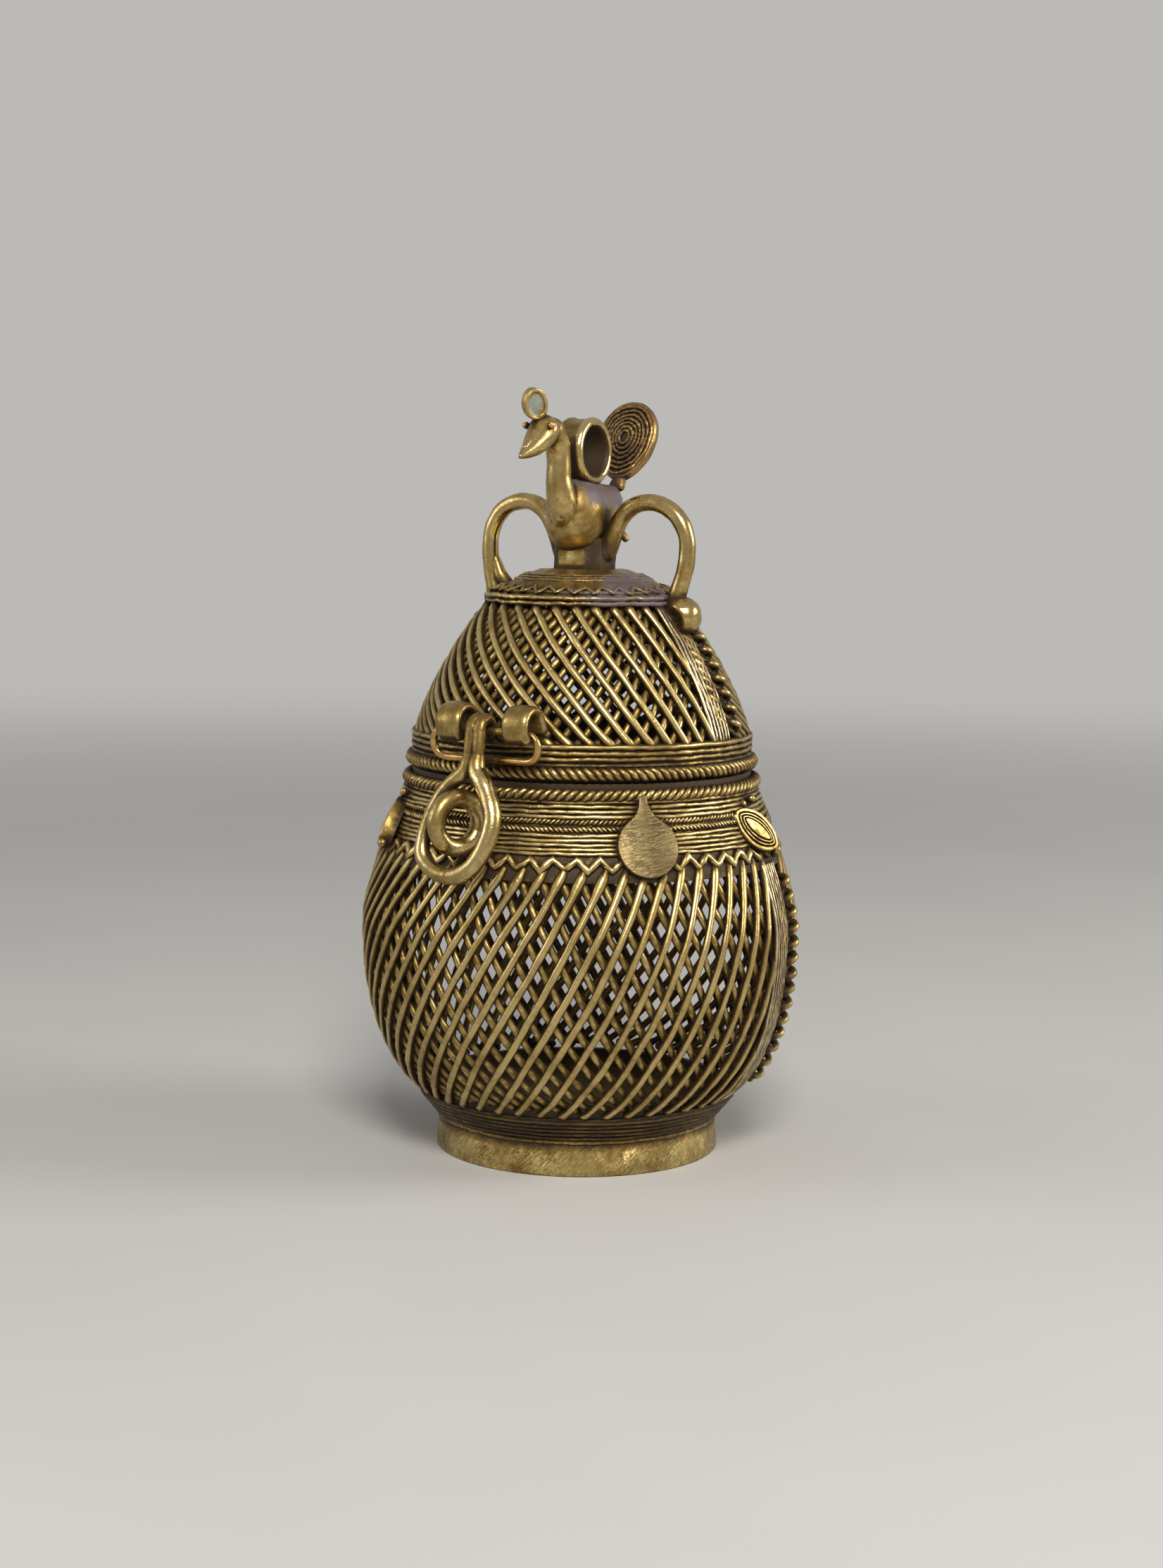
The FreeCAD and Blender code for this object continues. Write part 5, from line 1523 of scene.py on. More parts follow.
@dataclass
class Cap:
    """The cone that closes the lid, its threads and zigzag, and the block under the bird."""

    wall: float = 2.0
    thread: float = 1.0
    fine_thread: float = 0.8
    low_insets: Row = (0.5, 0.45, 0.9)
    high_threads: int = 3
    low_z: float = 113.8
    high_z: float = 117.06
    wave_z: float = 115.25
    block: float = 5.5
    block_front: float = 3.2
    worn: float = 1.3
    block_from: float = 118.7
    block_to: float = 125.6
    block_turn: float = 22.5
    # Painted shade on the block's sides and at its foot.
    side_shade: float = 0.6
    front_rub: float = 0.3
    foot_shade: float = 0.5
    foot_z: float = 120.4

    def build(self, foundry: Foundry) -> None:
        """Lays up and casts the cap's pieces."""
        low, top, edge = OUTLINE.lid_top_z, OUTLINE.cap_top_z, OUTLINE.cap_edge
        wide, neck = OUTLINE.cap_radius, OUTLINE.cap_neck
        cone = Wax()
        cone.turned(
            [
                (wide - 0.7, low), (wide - 0.3, low + 0.7), (wide - 0.9, low + edge),
                (wide - 2.3, low + edge + 0.8), ((wide + neck) / 2 + 0.4, (low + edge + top) / 2),
                (neck + 2.0, top - self.worn), (0.0, top - self.worn), (0.0, top - self.wall),
                (neck - self.wall, top - self.wall), (wide - self.wall, low),
            ],
            steps=120, soften=0.5,
        )
        cone.roughen(0.22, 2.4, seed=16.0)
        foundry.cast(cone, "cap", "lid", ANTIQUE, right_side_film)
        threads = Wax()
        for i, inset in enumerate(self.low_insets):
            z = self.low_z + (i - 1) * self.thread
            radius = OUTLINE.cap_wall_radius(z) + 0.2 * self.thread - inset
            threads.thread(radius, z, self.thread, seed=80.0 + i, drift=0.2, sink=0.22)
        radial, _ = CAP_WALL.lean(self.high_z)
        for i in range(self.high_threads):
            z = self.high_z + i * self.thread * radial
            thick = self.thread * self.fine_thread
            threads.thread(OUTLINE.cap_wall_radius(z), z, thick, seed=90.0 + i, drift=0.14, sink=0.14)
        foundry.cast(threads, "cap_threads", "lid", THREADED, right_side_film)
        wave = zigzag(CAP_WALL, self.wave_z, height=2.0, pitch=3.6, diameter=0.9, seed=17.0, sink=-0.1)
        foundry.cast(wave, "cap_wave_wire", "lid", ROPED, right_side_film)
        block = Wax()
        block.plate(
            self.block_outline, self.block_from, self.block_to, Matrix(), terraces=((0.5, 0.0),),
            soften=0.45, segments=8,
        )
        bmesh.ops.subdivide_edges(block.mesh, edges=block.mesh.edges, cuts=4, use_grid_fill=True)
        block.roughen(0.25, 1.8, seed=18.0)
        foundry.cast(block, "pedestal", "lid", ANTIQUE, right_side_film, self.block_shade)

    def block_shade(self, spot: Vector) -> float:
        """Painted shade on the block's sides and at its foot, where it meets the cap; its front stays
        rubbed.
        """
        side = ramp(abs(spot.x), 2.6, 3.5)
        foot = ramp(spot.z, self.foot_z, self.foot_z - 0.8)
        return self.side_shade * side - self.front_rub * (1.0 - side) + self.foot_shade * foot

    def block_outline(self, spot: Vector) -> Vector:
        """The block's eight-sided outline."""
        turned = Matrix.Rotation(radians(self.block_turn), 3, "Z") @ spot
        wide, deep = self.block, self.block_front
        if abs(turned.y) > abs(turned.x):
            wide, deep = deep, wide
        return Vector((copysign(wide, turned.x), copysign(deep, turned.y), 0.0))


@dataclass
class Handles:
    """The two loop handles, the ball at the right one's foot and the beads at the left one's."""

    thick: float = 1.8
    root: Pair = (5.0, 122.5)
    top: Pair = (14.6, 132.8)
    reach: Pair = (23.6, 123.9)
    foot: Pair = (20.8, 112.3)
    left_in: float = 0.9
    root_lean: float = 22.0
    foot_lean: float = 16.0
    ball: float = 4.0
    ball_z: float = 110.3
    crater: Triple = (-0.2, -0.95, -0.2)
    bead: float = 1.5
    bead_gap: float = 6.5
    spur: Triples = ((0.0, 0.0, 0.0), (1.5, 1.2, 0.8), (2.2, 1.7, -0.4))
    spur_thick: Row = (1.3, 1.0, 0.7)
    heel: Pairs = ((-21.6, 121.0), (-20.3, 117.6), (-17.8, 114.6))
    heel_thick: Row = (1.0, 1.5, 1.5)

    def loop(self, side: int) -> Wax:
        """Bends one handle.

        Args:
            side: 1 for the right, -1 for the left.

        Returns:
            The handle in wax.
        """
        out, back = radians(self.root_lean), radians(self.foot_lean)
        places = [Vector((side * x, 0.0, z)) for x, z in (self.root, self.top, self.reach, self.foot)]
        places[2].x += self.left_in if side < 0 else 0.0
        ways = [
            Vector((side * sin(out), 0.0, cos(out))), Vector((side, 0.0, 0.0)), -UP,
            Vector((-side * sin(back), 0.0, -cos(back))),
        ]
        line = bent(places, ways, steps=14, reach=0.4)
        last = len(line) - 1
        radii = []
        for i in range(last + 1):
            ends = exp(-((i / 5.0) ** 2)) + 0.7 * exp(-(((last - i) / 4.0) ** 2))
            radii.append(self.thick * (0.95 + 0.05 * sway(side, i * 0.35) + 0.22 * ends))
        wax = Wax()
        wax.wire(line, radii, sides=16)
        if side > 0:
            wax.wire([line[3] + Vector(step) for step in self.spur], self.spur_thick)
        else:
            wax.wire([Vector((x, 0.0, z)) for x, z in self.heel], self.heel_thick, sides=12)
        return wax.roughen(0.09, 2.4, seed=20.0 + side)

    def build(self, foundry: Foundry) -> None:
        """Lays up and casts the handles."""
        for side, node in ((1, "handle_right"), (-1, "handle_left")):
            foundry.cast(self.loop(side), node, "lid", SMOOTH, self.root_film, self.root_shade)
        ball = Wax()
        spot = polar(OUTLINE.lid_wall_radius(self.ball_z) + self.thick / 2, 90.0, self.ball_z)
        crater = Vector(self.crater).normalized()
        ball.ball(spot, self.ball, seed=3.0, dents=0.05, dent_at=crater)

        def crater_shade(place: Vector) -> float:
            """Painted shade in the ball's crater."""
            return 0.8 * ramp((place - spot).normalized().dot(crater), 0.74, 0.88)

        foundry.cast(ball, "handle_ball", "lid", SMOOTH, painted_shade_and_wear=crater_shade)
        beads = Wax()
        for i in range(3):
            z = OUTLINE.lid_top_z - (i % 2) * self.bead
            place = polar(OUTLINE.lid_wall_radius(z), 270.0 + (i - 1) * self.bead_gap, z)
            beads.ball(place, self.bead, seed=30.0 + i, dents=0.16)
        foundry.cast(beads, "handle_beads", "lid")

    @staticmethod
    def root_shade(spot: Vector) -> float:
        """Painted shade round the handles' roots and feet, where they join the lid."""
        root = ramp(spot.z, 127.5, 123.5) * ramp(abs(spot.x), 10.0, 7.5)
        return 0.42 * root + 0.3 * ramp(spot.z, 115.5, 113.0)

    @staticmethod
    def root_film(spot: Vector) -> float:
        """Grey film near the handles' roots and feet."""
        near = max(0.0, 1.0 - abs(abs(spot.x) - 5.5) / 4.0) + max(0.0, (118.0 - spot.z) / 8.0)
        return 0.5 * min(near, 1.0)


@dataclass
class Bird:
    """The bird on the block: trunk, neck, head, beak, eyes, crest, back ring and tail fan."""

    axis_z: float = 130.1
    chest: float = 10.1
    girth: Pair = (6.2, 7.4)
    tail: float = 12.5
    tail_girth: Pair = (1.8, 5.9)
    neck: float = 2.5
    neck_at: Triples = (
        (2.2, 125.4, 45.0), (8.8, 131.8, 28.0), (10.8, 138.7, 0.0), (14.0, 147.1, 62.0)
    )
    head: float = 3.2
    head_at: Pair = (16.8, 146.6)
    beak: float = 3.25
    beak_at: Pair = (25.9, 141.1)
    eye: float = 0.95
    eye_rub: float = -0.3
    crest_turn: float = 65.0
    crest_lean: float = 35.0
    crest_rise: float = 6.15
    crest_size: Triple = (2.6, 3.35, 1.7)
    crest_steps: Pairs = (
        (0.25, 0.0), (0.45, 0.0), (0.2, -0.3), (0.7, 0.05), (0.8, 0.06)
    )
    ring_at: Pair = (1.6, 142.9)
    ring_size: Triple = (7.0, 4.85, 3.5)
    fan_root: Pair = (-14.0, 136.8)
    fan_lean: float = 24.0
    fan_rise: float = 9.1
    fan_size: Triple = (6.7, 8.75, 1.5)
    fan_steps: Pairs = ((0.25, 0.18), (0.5, 0.0), (0.3, -0.2))
    fan_swell: float = 0.1
    fan_threads: int = 7
    fan_thread: float = 0.44
    fan_outer: float = 0.86
    fan_pitch: float = 0.115
    fan_points: int = 90
    fan_lumps: Waves = ((9.0, 9.0, 0.4), (5.0, 24.0, 0.35))
    stalk_thick: Row = (0.85, 0.9, 0.85, 0.75, 0.7)
    stalk_flat: Row = (2.3, 2.1, 1.9, 2.1, 2.6)

    def trunk(self) -> Wax:
        """Models the trunk, full in the chest and narrow at the tail."""
        wide, tall = self.girth
        tail_wide, tail_tall = self.tail_girth
        waist = self.chest - wide
        points, radii, flats = [], [], []
        for i in range(9):
            angle = radians(14.0 + 76.0 * i / 8)
            points.append(forward(waist + wide * cos(angle), self.axis_z))
            radii.append(tall * sin(angle))
            flats.append(wide / tall)
        for i in range(1, 13):
            share = i / 12
            half_wide = wide + (tail_wide - wide) * (0.35 * share + 0.65 * share**1.8)
            half_tall = tall + (tail_tall - tall) * share
            points.append(forward(waist - (waist + self.tail) * share, self.axis_z))
            radii.append(half_tall)
            flats.append(half_wide / half_tall)
        wax = Wax()
        wax.wire(points, radii, sides=32, flat=flats, square=0.92)
        return wax.roughen(0.3, 2.2, seed=40.0)

    def neck_and_head(self, foundry: Foundry) -> None:
        """Models and casts the neck, head, beak and eyes."""
        leans = [radians(lean) for *_, lean in self.neck_at]
        ways = [forward(sin(lean), cos(lean)) for lean in leans]
        line = bent([forward(reach, z) for reach, z, _ in self.neck_at], ways, steps=14)
        last = len(line) - 1
        radii = []
        for i in range(last + 1):
            share = i / last
            breast = 0.36 * max(1.0 - (share / 0.62) ** 2, 0.0)
            radii.append(self.neck * (1.02 + breast - 0.04 * share))
        neck = Wax()
        neck.wire(line, radii, sides=24)
        foundry.cast(neck.roughen(0.12, 2.6, seed=41.0), "bird_neck", "lid", SMOOTH)
        middle, tip = forward(*self.head_at), forward(*self.beak_at)
        head = Wax()
        head.ball(middle, self.head, seed=5.0, dents=0.06)
        foundry.cast(head, "bird_head", "lid", SMOOTH)
        way = tip - middle
        above = RIGHT.cross(way).normalized()
        line, radii = [], []
        for i in range(15):
            share = i / 14
            line.append(middle + way * (0.965 * share) + above * (0.5 * sin(pi * share)))
            radii.append(0.45 + (self.beak - 0.45) * (1.0 - share**1.5))
        beak = Wax()
        beak.wire(line, radii, sides=20, outward=[above] * len(line), flat=0.92)
        jaw = [spot - above * (0.25 + 0.62 * radius) for spot, radius in zip(line[4:12], radii[4:12])]
        thin = [0.95 - 0.07 * i for i in range(len(jaw))]
        beak.wire(jaw, thin, sides=12, outward=[above] * len(jaw), flat=1.3)
        foundry.cast(beak.roughen(0.05, 1.8, seed=42.0), "bird_beak", "lid", SMOOTH)
        eyes = Wax()
        for side in (-1, 1):
            spot = middle + Vector((side * (self.head - 0.25), -2 * self.eye, self.eye))
            eyes.ball(spot, self.eye * 0.85, seed=6.0 + side, dents=0.1)
        foundry.cast(eyes, "bird_eyes", "lid", WIRE, painted_shade_and_wear=evenly(self.eye_rub))

    def crest(self, foundry: Foundry) -> None:
        """Models and casts the crest: a thick rim round a pale sunk face on both sides."""
        wide, tall, thick = self.crest_size
        lean = radians(self.crest_lean)
        rise = forward(sin(lean), cos(lean)) * self.crest_rise
        place = (
            Matrix.Translation(forward(*self.head_at) + rise)
            @ Matrix.Rotation(lean, 4, "X")
            @ Matrix.Rotation(radians(self.crest_turn), 4, "Z")
            @ Matrix.Rotation(pi / 2, 4, "X")
        )
        wax = Wax()
        wax.plate(
            lambda spot: Vector((wide * spot.x, tall * spot.y, 0.0)), -thick / 2, thick / 2, place,
            terraces=self.crest_steps, soften=0.3, both=True,
        )
        wax.roughen(0.05, 1.0, seed=43.0)
        back = place.inverted()

        def pale(spot: Vector) -> float:
            """Pale film on the sunk face only."""
            flat = back @ spot
            out = hypot(flat.x / wide, flat.y / tall)
            return 0.56 * ramp(out, 0.8, 0.68)

        foundry.cast(wax, "bird_crest", "lid", PALE, pale)

    def back_ring(self) -> Wax:
        """Turns the short tube on the bird's back, with rounded lips."""
        radius, bore, half = self.ring_size
        place = Matrix.Translation(forward(*self.ring_at)) @ Matrix.Rotation(pi / 2, 4, "Y")
        wax = Wax()
        front = [
            (bore, -half + 0.8), (bore + 0.5, -half + 0.1), (bore + 1.3, -half),
            (radius - 0.35, -half + 0.4), (radius - 0.1, -half + 1.2), (radius - 0.5, -half + 2.2),
        ]
        wax.turned(front + [(out, -along) for out, along in reversed(front)], steps=64, place=place)
        return wax.roughen(-0.1, 2.0, seed=44.0)

    def tail_fan(self, foundry: Foundry) -> None:
        """Models and casts the fan on its stalk, and the threads coiled on its face."""
        wide, tall, thick = self.fan_size
        place = (
            Matrix.Translation(forward(*self.fan_root))
            @ Matrix.Rotation(radians(90.0 - self.fan_lean), 4, "X")
            @ Matrix.Translation((0.0, self.fan_rise, 0.0))
        )
        out = (place.to_3x3() @ UP).normalized()
        fan = Wax()
        swell = self.fan_swell
        fan.plate(
            lambda spot: Vector((wide * spot.x * (1.0 + swell * spot.y), tall * spot.y, 0.0)),
            0.0, thick, place, terraces=self.fan_steps, soften=0.3, segments=56,
        )
        stalk = [place @ Vector((0.12 * i, -tall - 1.9 + 0.95 * i, thick / 2)) for i in range(5)]
        fan.wire(stalk, self.stalk_thick, sides=12, outward=[out] * 5, flat=self.stalk_flat)
        fan.roughen(0.1, 1.6, seed=45.0)
        root = place @ Vector((0.0, -tall, 0.0))

        def stalk_shade(spot: Vector) -> float:
            """Painted shade where the stalk runs into the fan."""
            return 0.9 * max(1.0 - (spot - root).length / 3.4, 0.0)

        foundry.cast(fan, "bird_tail_fan", "lid", COPPERY, painted_shade_and_wear=stalk_shade)
        ridges = Wax()
        for k in range(self.fan_threads):
            share = self.fan_outer - self.fan_pitch * k
            aside, along = -0.55 * (self.fan_outer - share), 0.9 * (self.fan_outer - share)
            points, radii = [], []
            for i in range(self.fan_points):
                turn = 2 * pi * i / self.fan_points
                size = share * (1.0 + 0.045 * ring_sway(k, degrees(turn), 2.5))
                across = wide * size * cos(turn) * (1.0 + swell * size * sin(turn))
                spot = Vector((across + aside, tall * size * sin(turn) + along, thick + 0.05))
                points.append(place @ spot)
                radii.append(self.fan_thread * (1.0 + ring_waver(k, degrees(turn), self.fan_lumps)))
            ridges.wire(points, radii, outward=[out] * self.fan_points, closed=True)
        foundry.cast(ridges, "tail_fan_ridges", "lid", COPPERY)

    def build(self, foundry: Foundry) -> None:
        """Models and casts the whole bird."""
        foundry.cast(self.trunk(), "bird_body", "lid", ANTIQUE, self.side_film)
        self.neck_and_head(foundry)
        self.crest(foundry)
        foundry.cast(self.back_ring(), "bird_back_ring", "lid", SMOOTH, painted_shade_and_wear=self.bore_shade)
        self.tail_fan(foundry)

    def bore_shade(self, spot: Vector) -> float:
        """Painted shade inside the tube, a little darkening on its outside, while its lips stay rubbed."""
        reach, z = self.ring_at
        _, bore, half = self.ring_size
        out = hypot(spot.y + reach, spot.z - z)
        if out < bore + 0.35:
            return 1.0
        return 0.18 if abs(spot.x) < half - 1.3 else -0.12

    @staticmethod
    def side_film(spot: Vector) -> float:
        """Grey film along the trunk's sides, above the belly and behind the neck."""
        return 0.7 * ramp(spot.y, -8.5, -6.5) * ramp(spot.z, 130.0, 132.2)


@dataclass
class Hasp:
    """The strap lugs, the bent wire, the hasp that swings on it and the staple that it drops over."""

    y: float = -38.5
    z: float = 88.8
    wire: float = 0.75
    oval_half: float = 13.2
    oval_aside: float = 0.5
    oval_drop: float = 5.6
    oval_set: float = 0.9
    gap_at: float = -2.6
    gap: float = 1.1
    lug_x: float = 7.5
    lug_aside: float = 1.5
    lug_width: float = 5.8
    lug_thick: float = 2.1
    lug_radius: float = 4.35
    lug_at: Pair = (-37.9, 89.9)
    lug_arc: Pair = (-52.0, 150.0)
    lug_tail: float = 3.0
    hook: float = 2.25
    hook_thick: float = 1.15
    hook_width: float = 1.15
    hook_foot: Pair = (41.5, 83.2)
    loop: float = 1.65
    loop_top: Pair = (39.8, 88.8)
    loop_bottom: Pair = (48.3, 61.6)
    loop_half: Pair = (7.5, 7.0)
    loop_widest: Pair = (0.8, 0.64)
    loop_lean: float = -0.8
    split: float = 1.0
    staple_z: float = 71.3
    staple_at: Pair = (-2.2, 43.4)
    staple_radius: float = 4.85
    staple: float = 1.9
    staple_turn: float = 25.0
    staple_arc: Pair = (196.0, 350.0)
    staple_foot: Row = (1.72, 1.7, 1.66, 1.66, 1.6)
    strap_end: Pairs = ((0.93, 0.1), (0.7, 0.16), (0.3, 0.06))
    hook_arc: float = 208.0
    hook_flat: float = 1.15
    # How much darker the whole hook is made.
    hook_darkening: float = 0.3
    loop_flare: float = 30.0
    # Painted shade on the stem under the hook.
    loop_shade: float = 0.3

    def strap(self, middle_x: float, seed: float) -> Wax:
        """Curls one strap out of the lid and over the wire.

        Args:
            middle_x: the middle of its width.
            seed: which unevenness it has.

        Returns:
            The strap in wax.
        """
        y, z = self.lug_at
        radius = self.lug_radius - self.lug_thick / 2
        start, end = self.lug_arc
        points, outs = [], []
        for i in range(19):
            angle = radians(start + (end - start) * i / 18)
            out = forward(cos(angle), sin(angle))
            points.append(Vector((middle_x, y, z)) + out * radius)
            outs.append(out)
        back = radians(end)
        tail = forward(-sin(back), cos(back)) * self.lug_tail
        for i in range(1, 5):
            points.append(points[18] + tail * (i / 4))
            outs.append(outs[18])
        thick = [self.lug_thick / 2 * (0.97 + 0.06 * sway(seed, i * 0.4)) for i in range(len(points))]
        wax = Wax()
        wide = self.lug_width / self.lug_thick
        wax.wire(points, thick, sides=24, outward=outs, flat=wide, square=0.74, ends=self.strap_end)
        return wax.roughen(0.1, 1.8, seed=seed)

    def cut_end(self, spot: Vector) -> float:
        """Painted shade on the straps' cut ends, inside a rubbed rim; the rest of each strap is a little
        darker.
        """
        y, z = self.lug_at
        angle = degrees(atan2(spot.z - z, y - spot.y))
        if spot.y > y or angle > self.lug_arc[0] + 20.0:
            return 0.1
        from_middle = abs(abs(spot.x - self.lug_aside) - self.lug_x)
        return 0.85 if from_middle < self.lug_width / 2 - 0.8 else -0.1

    def bent_wire(self) -> Wax:
        """Bends the oval of wire, with its cut ends at the front."""
        drop = self.oval_drop / 2
        turn_x = self.oval_half - self.wire - 1.3 * drop
        back, front, low = self.y, self.y + self.oval_set, self.z - self.oval_drop
        left, right = -RIGHT, RIGHT
        places = [
            Vector((self.gap_at - self.gap, front, low)), Vector((-turn_x, front, low)),
            Vector((-turn_x, back, self.z)), Vector((turn_x, back, self.z)),
            Vector((turn_x, front, low)), Vector((self.gap_at + self.gap, front, low)),
        ]
        line = bent(places, [left, left, right, right, left, left], steps=14, reach=0.7)
        wax = Wax()
        wax.wire([spot + RIGHT * self.oval_aside for spot in line], self.wire, sides=14, square=0.97)
        return wax

    def top_hook(self) -> Wax:
        """Curls the stem's two strands over the wire."""
        axis = Vector((0.0, self.y, self.z))
        foot = forward(*self.hook_foot)
        rise = axis + forward(self.hook, 0.0) - foot
        line = [foot + rise * (i / 6) for i in range(6)]
        outs = [forward(1.0, 0.0)] * 6
        for i in range(25):
            angle = radians(self.hook_arc * i / 24)
            out = forward(cos(angle), sin(angle))
            line.append(axis + out * self.hook)
            outs.append(out)
        wax = Wax()
        for side in (-1, 1):
            course, thick = [], []
            for i, spot in enumerate(line):
                aside = self.hook_width * (0.88 - 0.014 * i) + 0.12 * sway(side + 2.0, i * 0.35)
                course.append(spot + RIGHT * (side * aside))
                taper = 0.012 * max(i - 18, 0) + 0.05 * max(3 - i, 0)
                thick.append(self.hook_thick * (0.98 + 0.1 * sway(side + 9.0, i * 0.6) - taper))
            flat = self.hook_flat * self.hook_width / self.hook_thick
            wax.wire(course, thick, sides=16, outward=outs, flat=flat, square=0.85)
        return wax.roughen(0.26, 1.1, seed=51.0)

    def teardrop(self) -> Wax:
        """Bends the stem's two strands into the teardrop loop, which hangs a little to the left."""
        top, bottom = forward(*self.loop_top), forward(*self.loop_bottom)
        length = (bottom - top).length
        down = (bottom - top).normalized()
        flare = radians(self.loop_flare)
        wax = Wax()
        for side, half, widest in zip((-1, 1), self.loop_half, self.loop_widest):
            across = RIGHT * side
            places = [
                top + across * self.split + down * 2.8,
                top + across * self.split + down * (length * 0.22),
                top + across * (half * 0.63) + down * (length * 0.41),
                top + across * half + down * (length * widest),
                top + down * length,
            ]
            ways = [down, down, across * sin(flare) + down * cos(flare), down, across * -1.0]
            line = bent(places, ways, steps=12)
            radii = []
            for i, spot in enumerate(line):
                spot += RIGHT * (self.loop_lean * ((spot - top).length / length) ** 1.5)
                narrow = 0.5 * exp(-((i / 8.0) ** 2))
                full = 0.1 * side * min(i / 16, (len(line) - 1 - i) / 12, 1.0)
                radii.append(self.loop * (1.0 + full + 0.06 * sway(side + 3.0, i * 0.3) - narrow))
            wax.wire(line, radii, sides=16)
        return wax.roughen(0.08, 1.8, seed=52.0)

    def staple_eye(self) -> Wax:
        """Bends the thick hook that the hasp drops over."""
        angle = radians(self.staple_turn)
        out = Vector((-sin(angle), -cos(angle), 0.0))
        aside, reach = self.staple_at
        middle = forward(reach, self.staple_z) + RIGHT * aside
        side = UP.cross(out)
        start, sweep = self.staple_arc
        points = []
        for i in range(37):
            turn = radians(start - sweep * i / 36)
            points.append(middle + (out * cos(turn) + UP * sin(turn)) * self.staple_radius)
        wax = Wax()
        radii = [self.staple * (0.96 + 0.05 * sway(7.0, i * 0.3)) for i in range(37)]
        wax.wire(points, radii, sides=14, outward=[side] * 37)
        root = forward(OUTLINE.collar_radius(self.staple_z) - 0.6, self.staple_z)
        heel = middle - out * self.staple_radius
        wax.wire([root + (heel - root) * (i / 4) for i in range(5)], self.staple_foot, sides=14)
        return wax.roughen(0.06, 1.8, seed=53.0)

    def stem_shade(self, spot: Vector) -> float:
        """Painted shade on the stem, above the loop, under the hook."""
        return self.loop_shade * ramp(spot.z, 80.0, 84.0)

    def build(self, foundry: Foundry) -> None:
        """Lays up and casts the hasp and its fittings."""
        for side, node, seed in ((1, "hasp_lug_right", 48.0), (-1, "hasp_lug_left", 49.0)):
            strap = self.strap(self.lug_aside + side * self.lug_x, seed)
            foundry.cast(strap, node, "lid", WORN, painted_shade_and_wear=self.cut_end)
        foundry.cast(self.bent_wire(), "hasp_pin_wire", "lid", WIRE)
        # The whole hook is made a little darker.
        foundry.cast(self.top_hook(), "hasp_eye", "hasp", WORN, painted_shade_and_wear=evenly(self.hook_darkening))
        foundry.cast(self.teardrop(), "hasp_loop", "hasp", WORN, painted_shade_and_wear=self.stem_shade)
        foundry.cast(self.staple_eye(), "hasp_staple", "base", WORN)


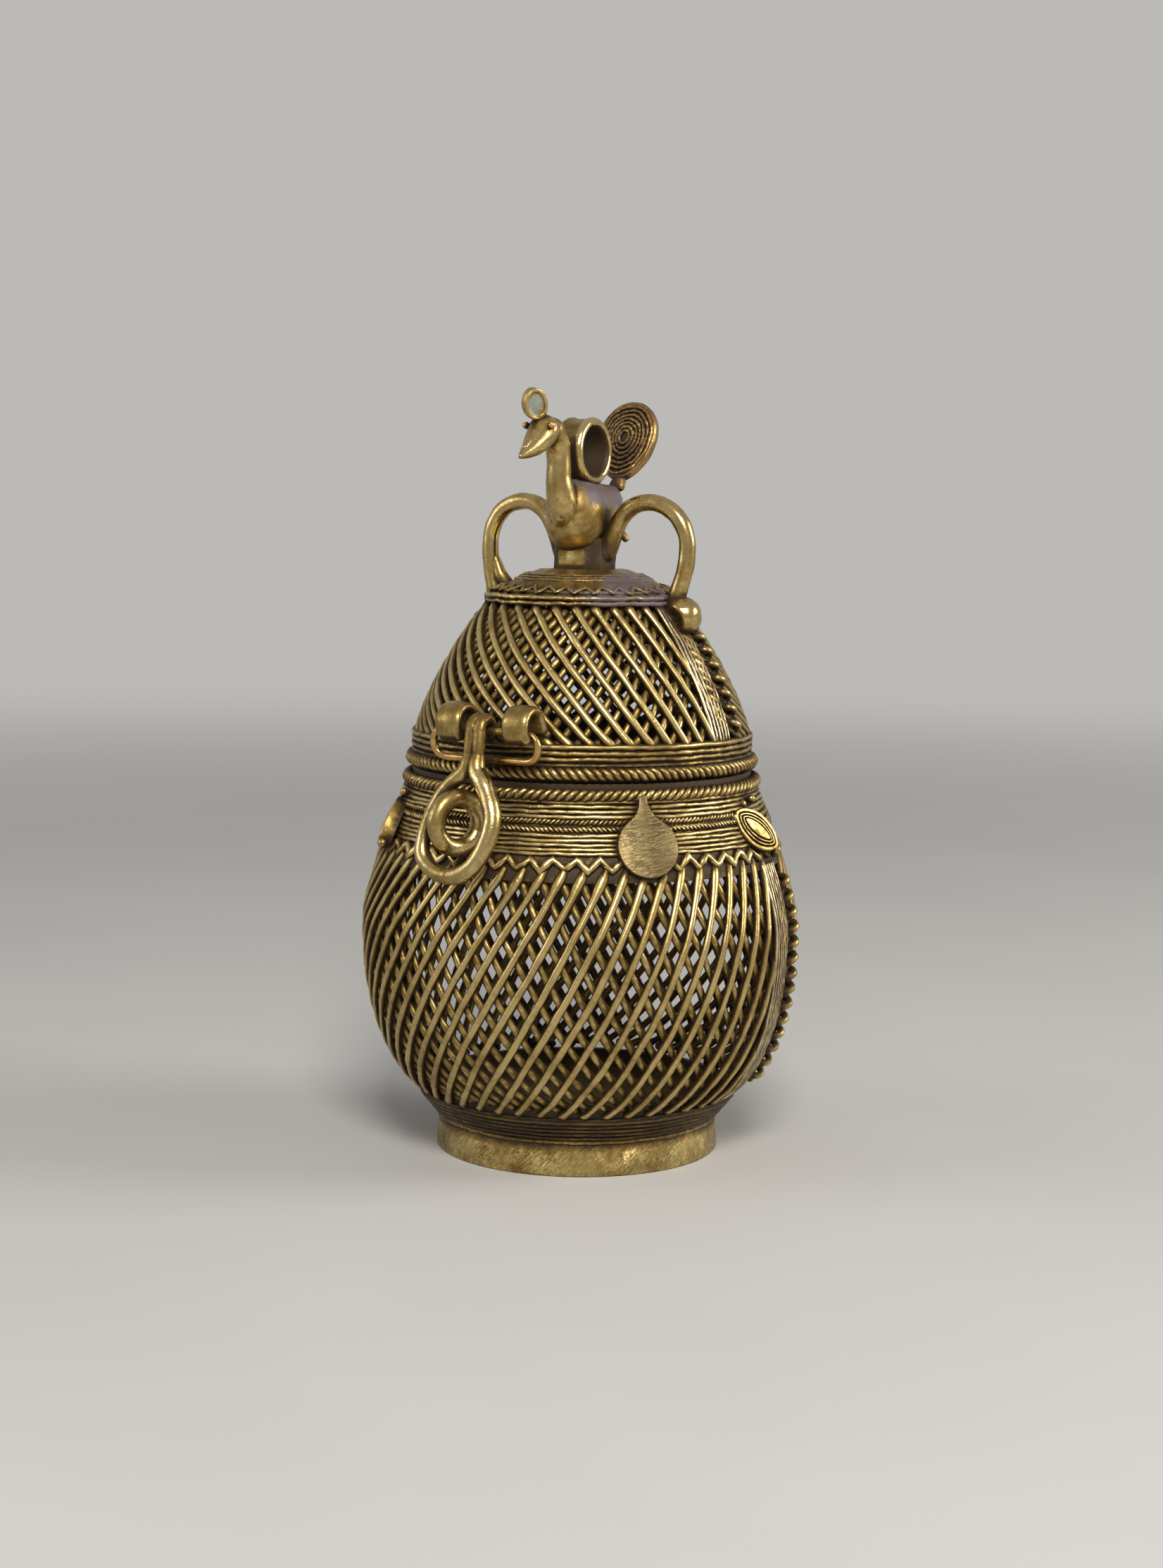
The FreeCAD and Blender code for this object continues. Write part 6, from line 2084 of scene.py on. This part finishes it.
@dataclass
class Studio:
    """Plain pale floor, soft lamps and the camera at the photograph's angle."""

    camera_at: Triple = (0.2525, -0.4373, 0.132)
    aim: Triple = (0.0, 0.0, 0.075)
    roll: float = 0.8
    lens: float = 56.62
    floor_colour: Colour = (0.56, 0.55, 0.53)
    backdrop: Colour = (0.50, 0.49, 0.475)
    ambient: float = 0.2
    floor_reach: float = 1.4
    floor_shade: float = 0.96
    fade_from: float = 0.3
    sensor: float = 36.0
    nearest: float = 0.01
    lamp_aim: Triple = (0.0, 0.0, 0.08)
    # For each lamp: its name, place, width, power and colour.
    lamps: tuple[tuple[str, Triple, float, float, Colour], ...] = (
        ("key_lamp", (0.45, -0.62, 0.7), 0.3, 8.0, (1.0, 0.97, 0.92)),
        ("fill_lamp", (-0.75, -0.6, 0.45), 0.6, 2.4, (0.94, 0.97, 1.0)),
        ("back_lamp", (0.82, 0.42, 0.44), 0.45, 5.5, (1.0, 0.99, 0.97)),
    )

    def set_camera(self) -> None:
        """Sets up the camera."""
        data = bpy.data.cameras.new("camera")
        data.sensor_fit = "VERTICAL"
        data.sensor_height = self.sensor
        data.lens = self.lens
        data.clip_start = self.nearest
        camera = in_scene("camera", data)
        roll = Matrix.Rotation(radians(self.roll), 4, "Z")
        camera.matrix_world = facing(self.camera_at, self.aim) @ roll
        bpy.context.scene.camera = camera

    def hang_lamps(self) -> None:
        """Hangs the soft lamps, which face the box."""
        for name, place, width, power, colour in self.lamps:
            data = bpy.data.lights.new(name, "AREA")
            data.shape = "SQUARE"
            data.size, data.energy, data.color = width, power, colour
            in_scene(name, data).matrix_world = facing(place, self.lamp_aim)

    def lay_floor(self) -> None:
        """Lays the floor."""
        sheet = bmesh.new()
        bmesh.ops.create_circle(sheet, cap_ends=True, segments=64, radius=self.floor_reach)
        mesh = bpy.data.meshes.new("floor")
        sheet.to_mesh(mesh)
        sheet.free()
        material = bpy.data.materials.new("pale_floor")
        material.use_nodes = True
        graph = Graph(material.node_tree)
        coords = graph.add("TexCoord").outputs["Object"]
        cloud = graph.spread(graph.grain(coords, 9.0), 0.3, 0.7)
        low = tuple(part * self.floor_shade for part in self.floor_colour)
        tint = graph.mix(cloud, (*low, 1.0), (*self.floor_colour, 1.0))
        away = graph.add("VectorMath", {0: coords}, operation="LENGTH").outputs["Value"]
        cover = graph.spread(away, self.fade_from, self.floor_reach * 0.95, start=1.0, end=0.0)
        sheen = {"Base Color": tint, "Roughness": 0.75, "Alpha": cover}
        shader = graph.add("BsdfPrincipled", sheen).outputs[0]
        graph.add("OutputMaterial", {"Surface": shader})
        mesh.materials.append(material)
        floor = in_scene("floor", mesh)

    def hang_backdrop(self) -> None:
        """Makes the pale surroundings that the camera and the metal see."""
        world = bpy.data.worlds.new("studio")
        bpy.context.scene.world = world
        world.use_nodes = True
        graph = Graph(world.node_tree)
        path = graph.add("LightPath").outputs
        seen = graph.sum("MAXIMUM", path["Is Camera Ray"], path["Is Glossy Ray"])
        seen = graph.sum("MAXIMUM", seen, path["Is Transmission Ray"])
        soft = graph.add("Background", {0: (1.0, 1.0, 1.0, 1.0), 1: self.ambient}).outputs[0]
        pale = graph.add("Background", {0: (*self.backdrop, 1.0), 1: 1.0}).outputs[0]
        mixed = graph.add("MixShader", {0: seen, 1: soft, 2: pale}).outputs[0]
        graph.add("OutputWorld", {"Surface": mixed})

    def build(self) -> None:
        """Sets up the whole studio."""
        self.set_camera()
        self.lay_floor()
        self.hang_backdrop()
        self.hang_lamps()
        bpy.context.scene.view_settings.view_transform = "Standard"


def main() -> None:
    """Builds the box round its frame, piece by piece, and notes its size."""
    logging.basicConfig(level=logging.INFO, format="%(name)s: %(message)s")
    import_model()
    Studio().build()
    foundry = Foundry()
    body = Lattice(
        "body", "base", BODY_WALL, z_start=61.5, z_end=12.6, per_turn=64, rib=95.0, spans=(21.0, 84.0),
        ease=0.25, coil_from=58.3, coil_to=15.8, steps=44, lap=1.6,
    )
    lid = Lattice(
        "lid", "lid", LID_WALL, z_start=85.4, z_end=112.3, per_turn=54, rib=84.0, spans=(23.3, 220.0),
        ease=0.0, coil_from=88.15, coil_to=110.55, steps=34, lap=0.0, bend=1.35, most=108.0,
        flat=1.2, wire=1.4,
    )
    box = (Foot(), body, Collar(), Ornaments(), Hinge())
    cover = (LidBand(), lid, Cap(), Handles(), Bird(), Hasp())
    for part in box + cover:
        part.build(foundry)
    RecessMap().mark(foundry.pieces)
    LOG.info("cast %d pieces", len(foundry.pieces))


if __name__ == "__main__":
    main()
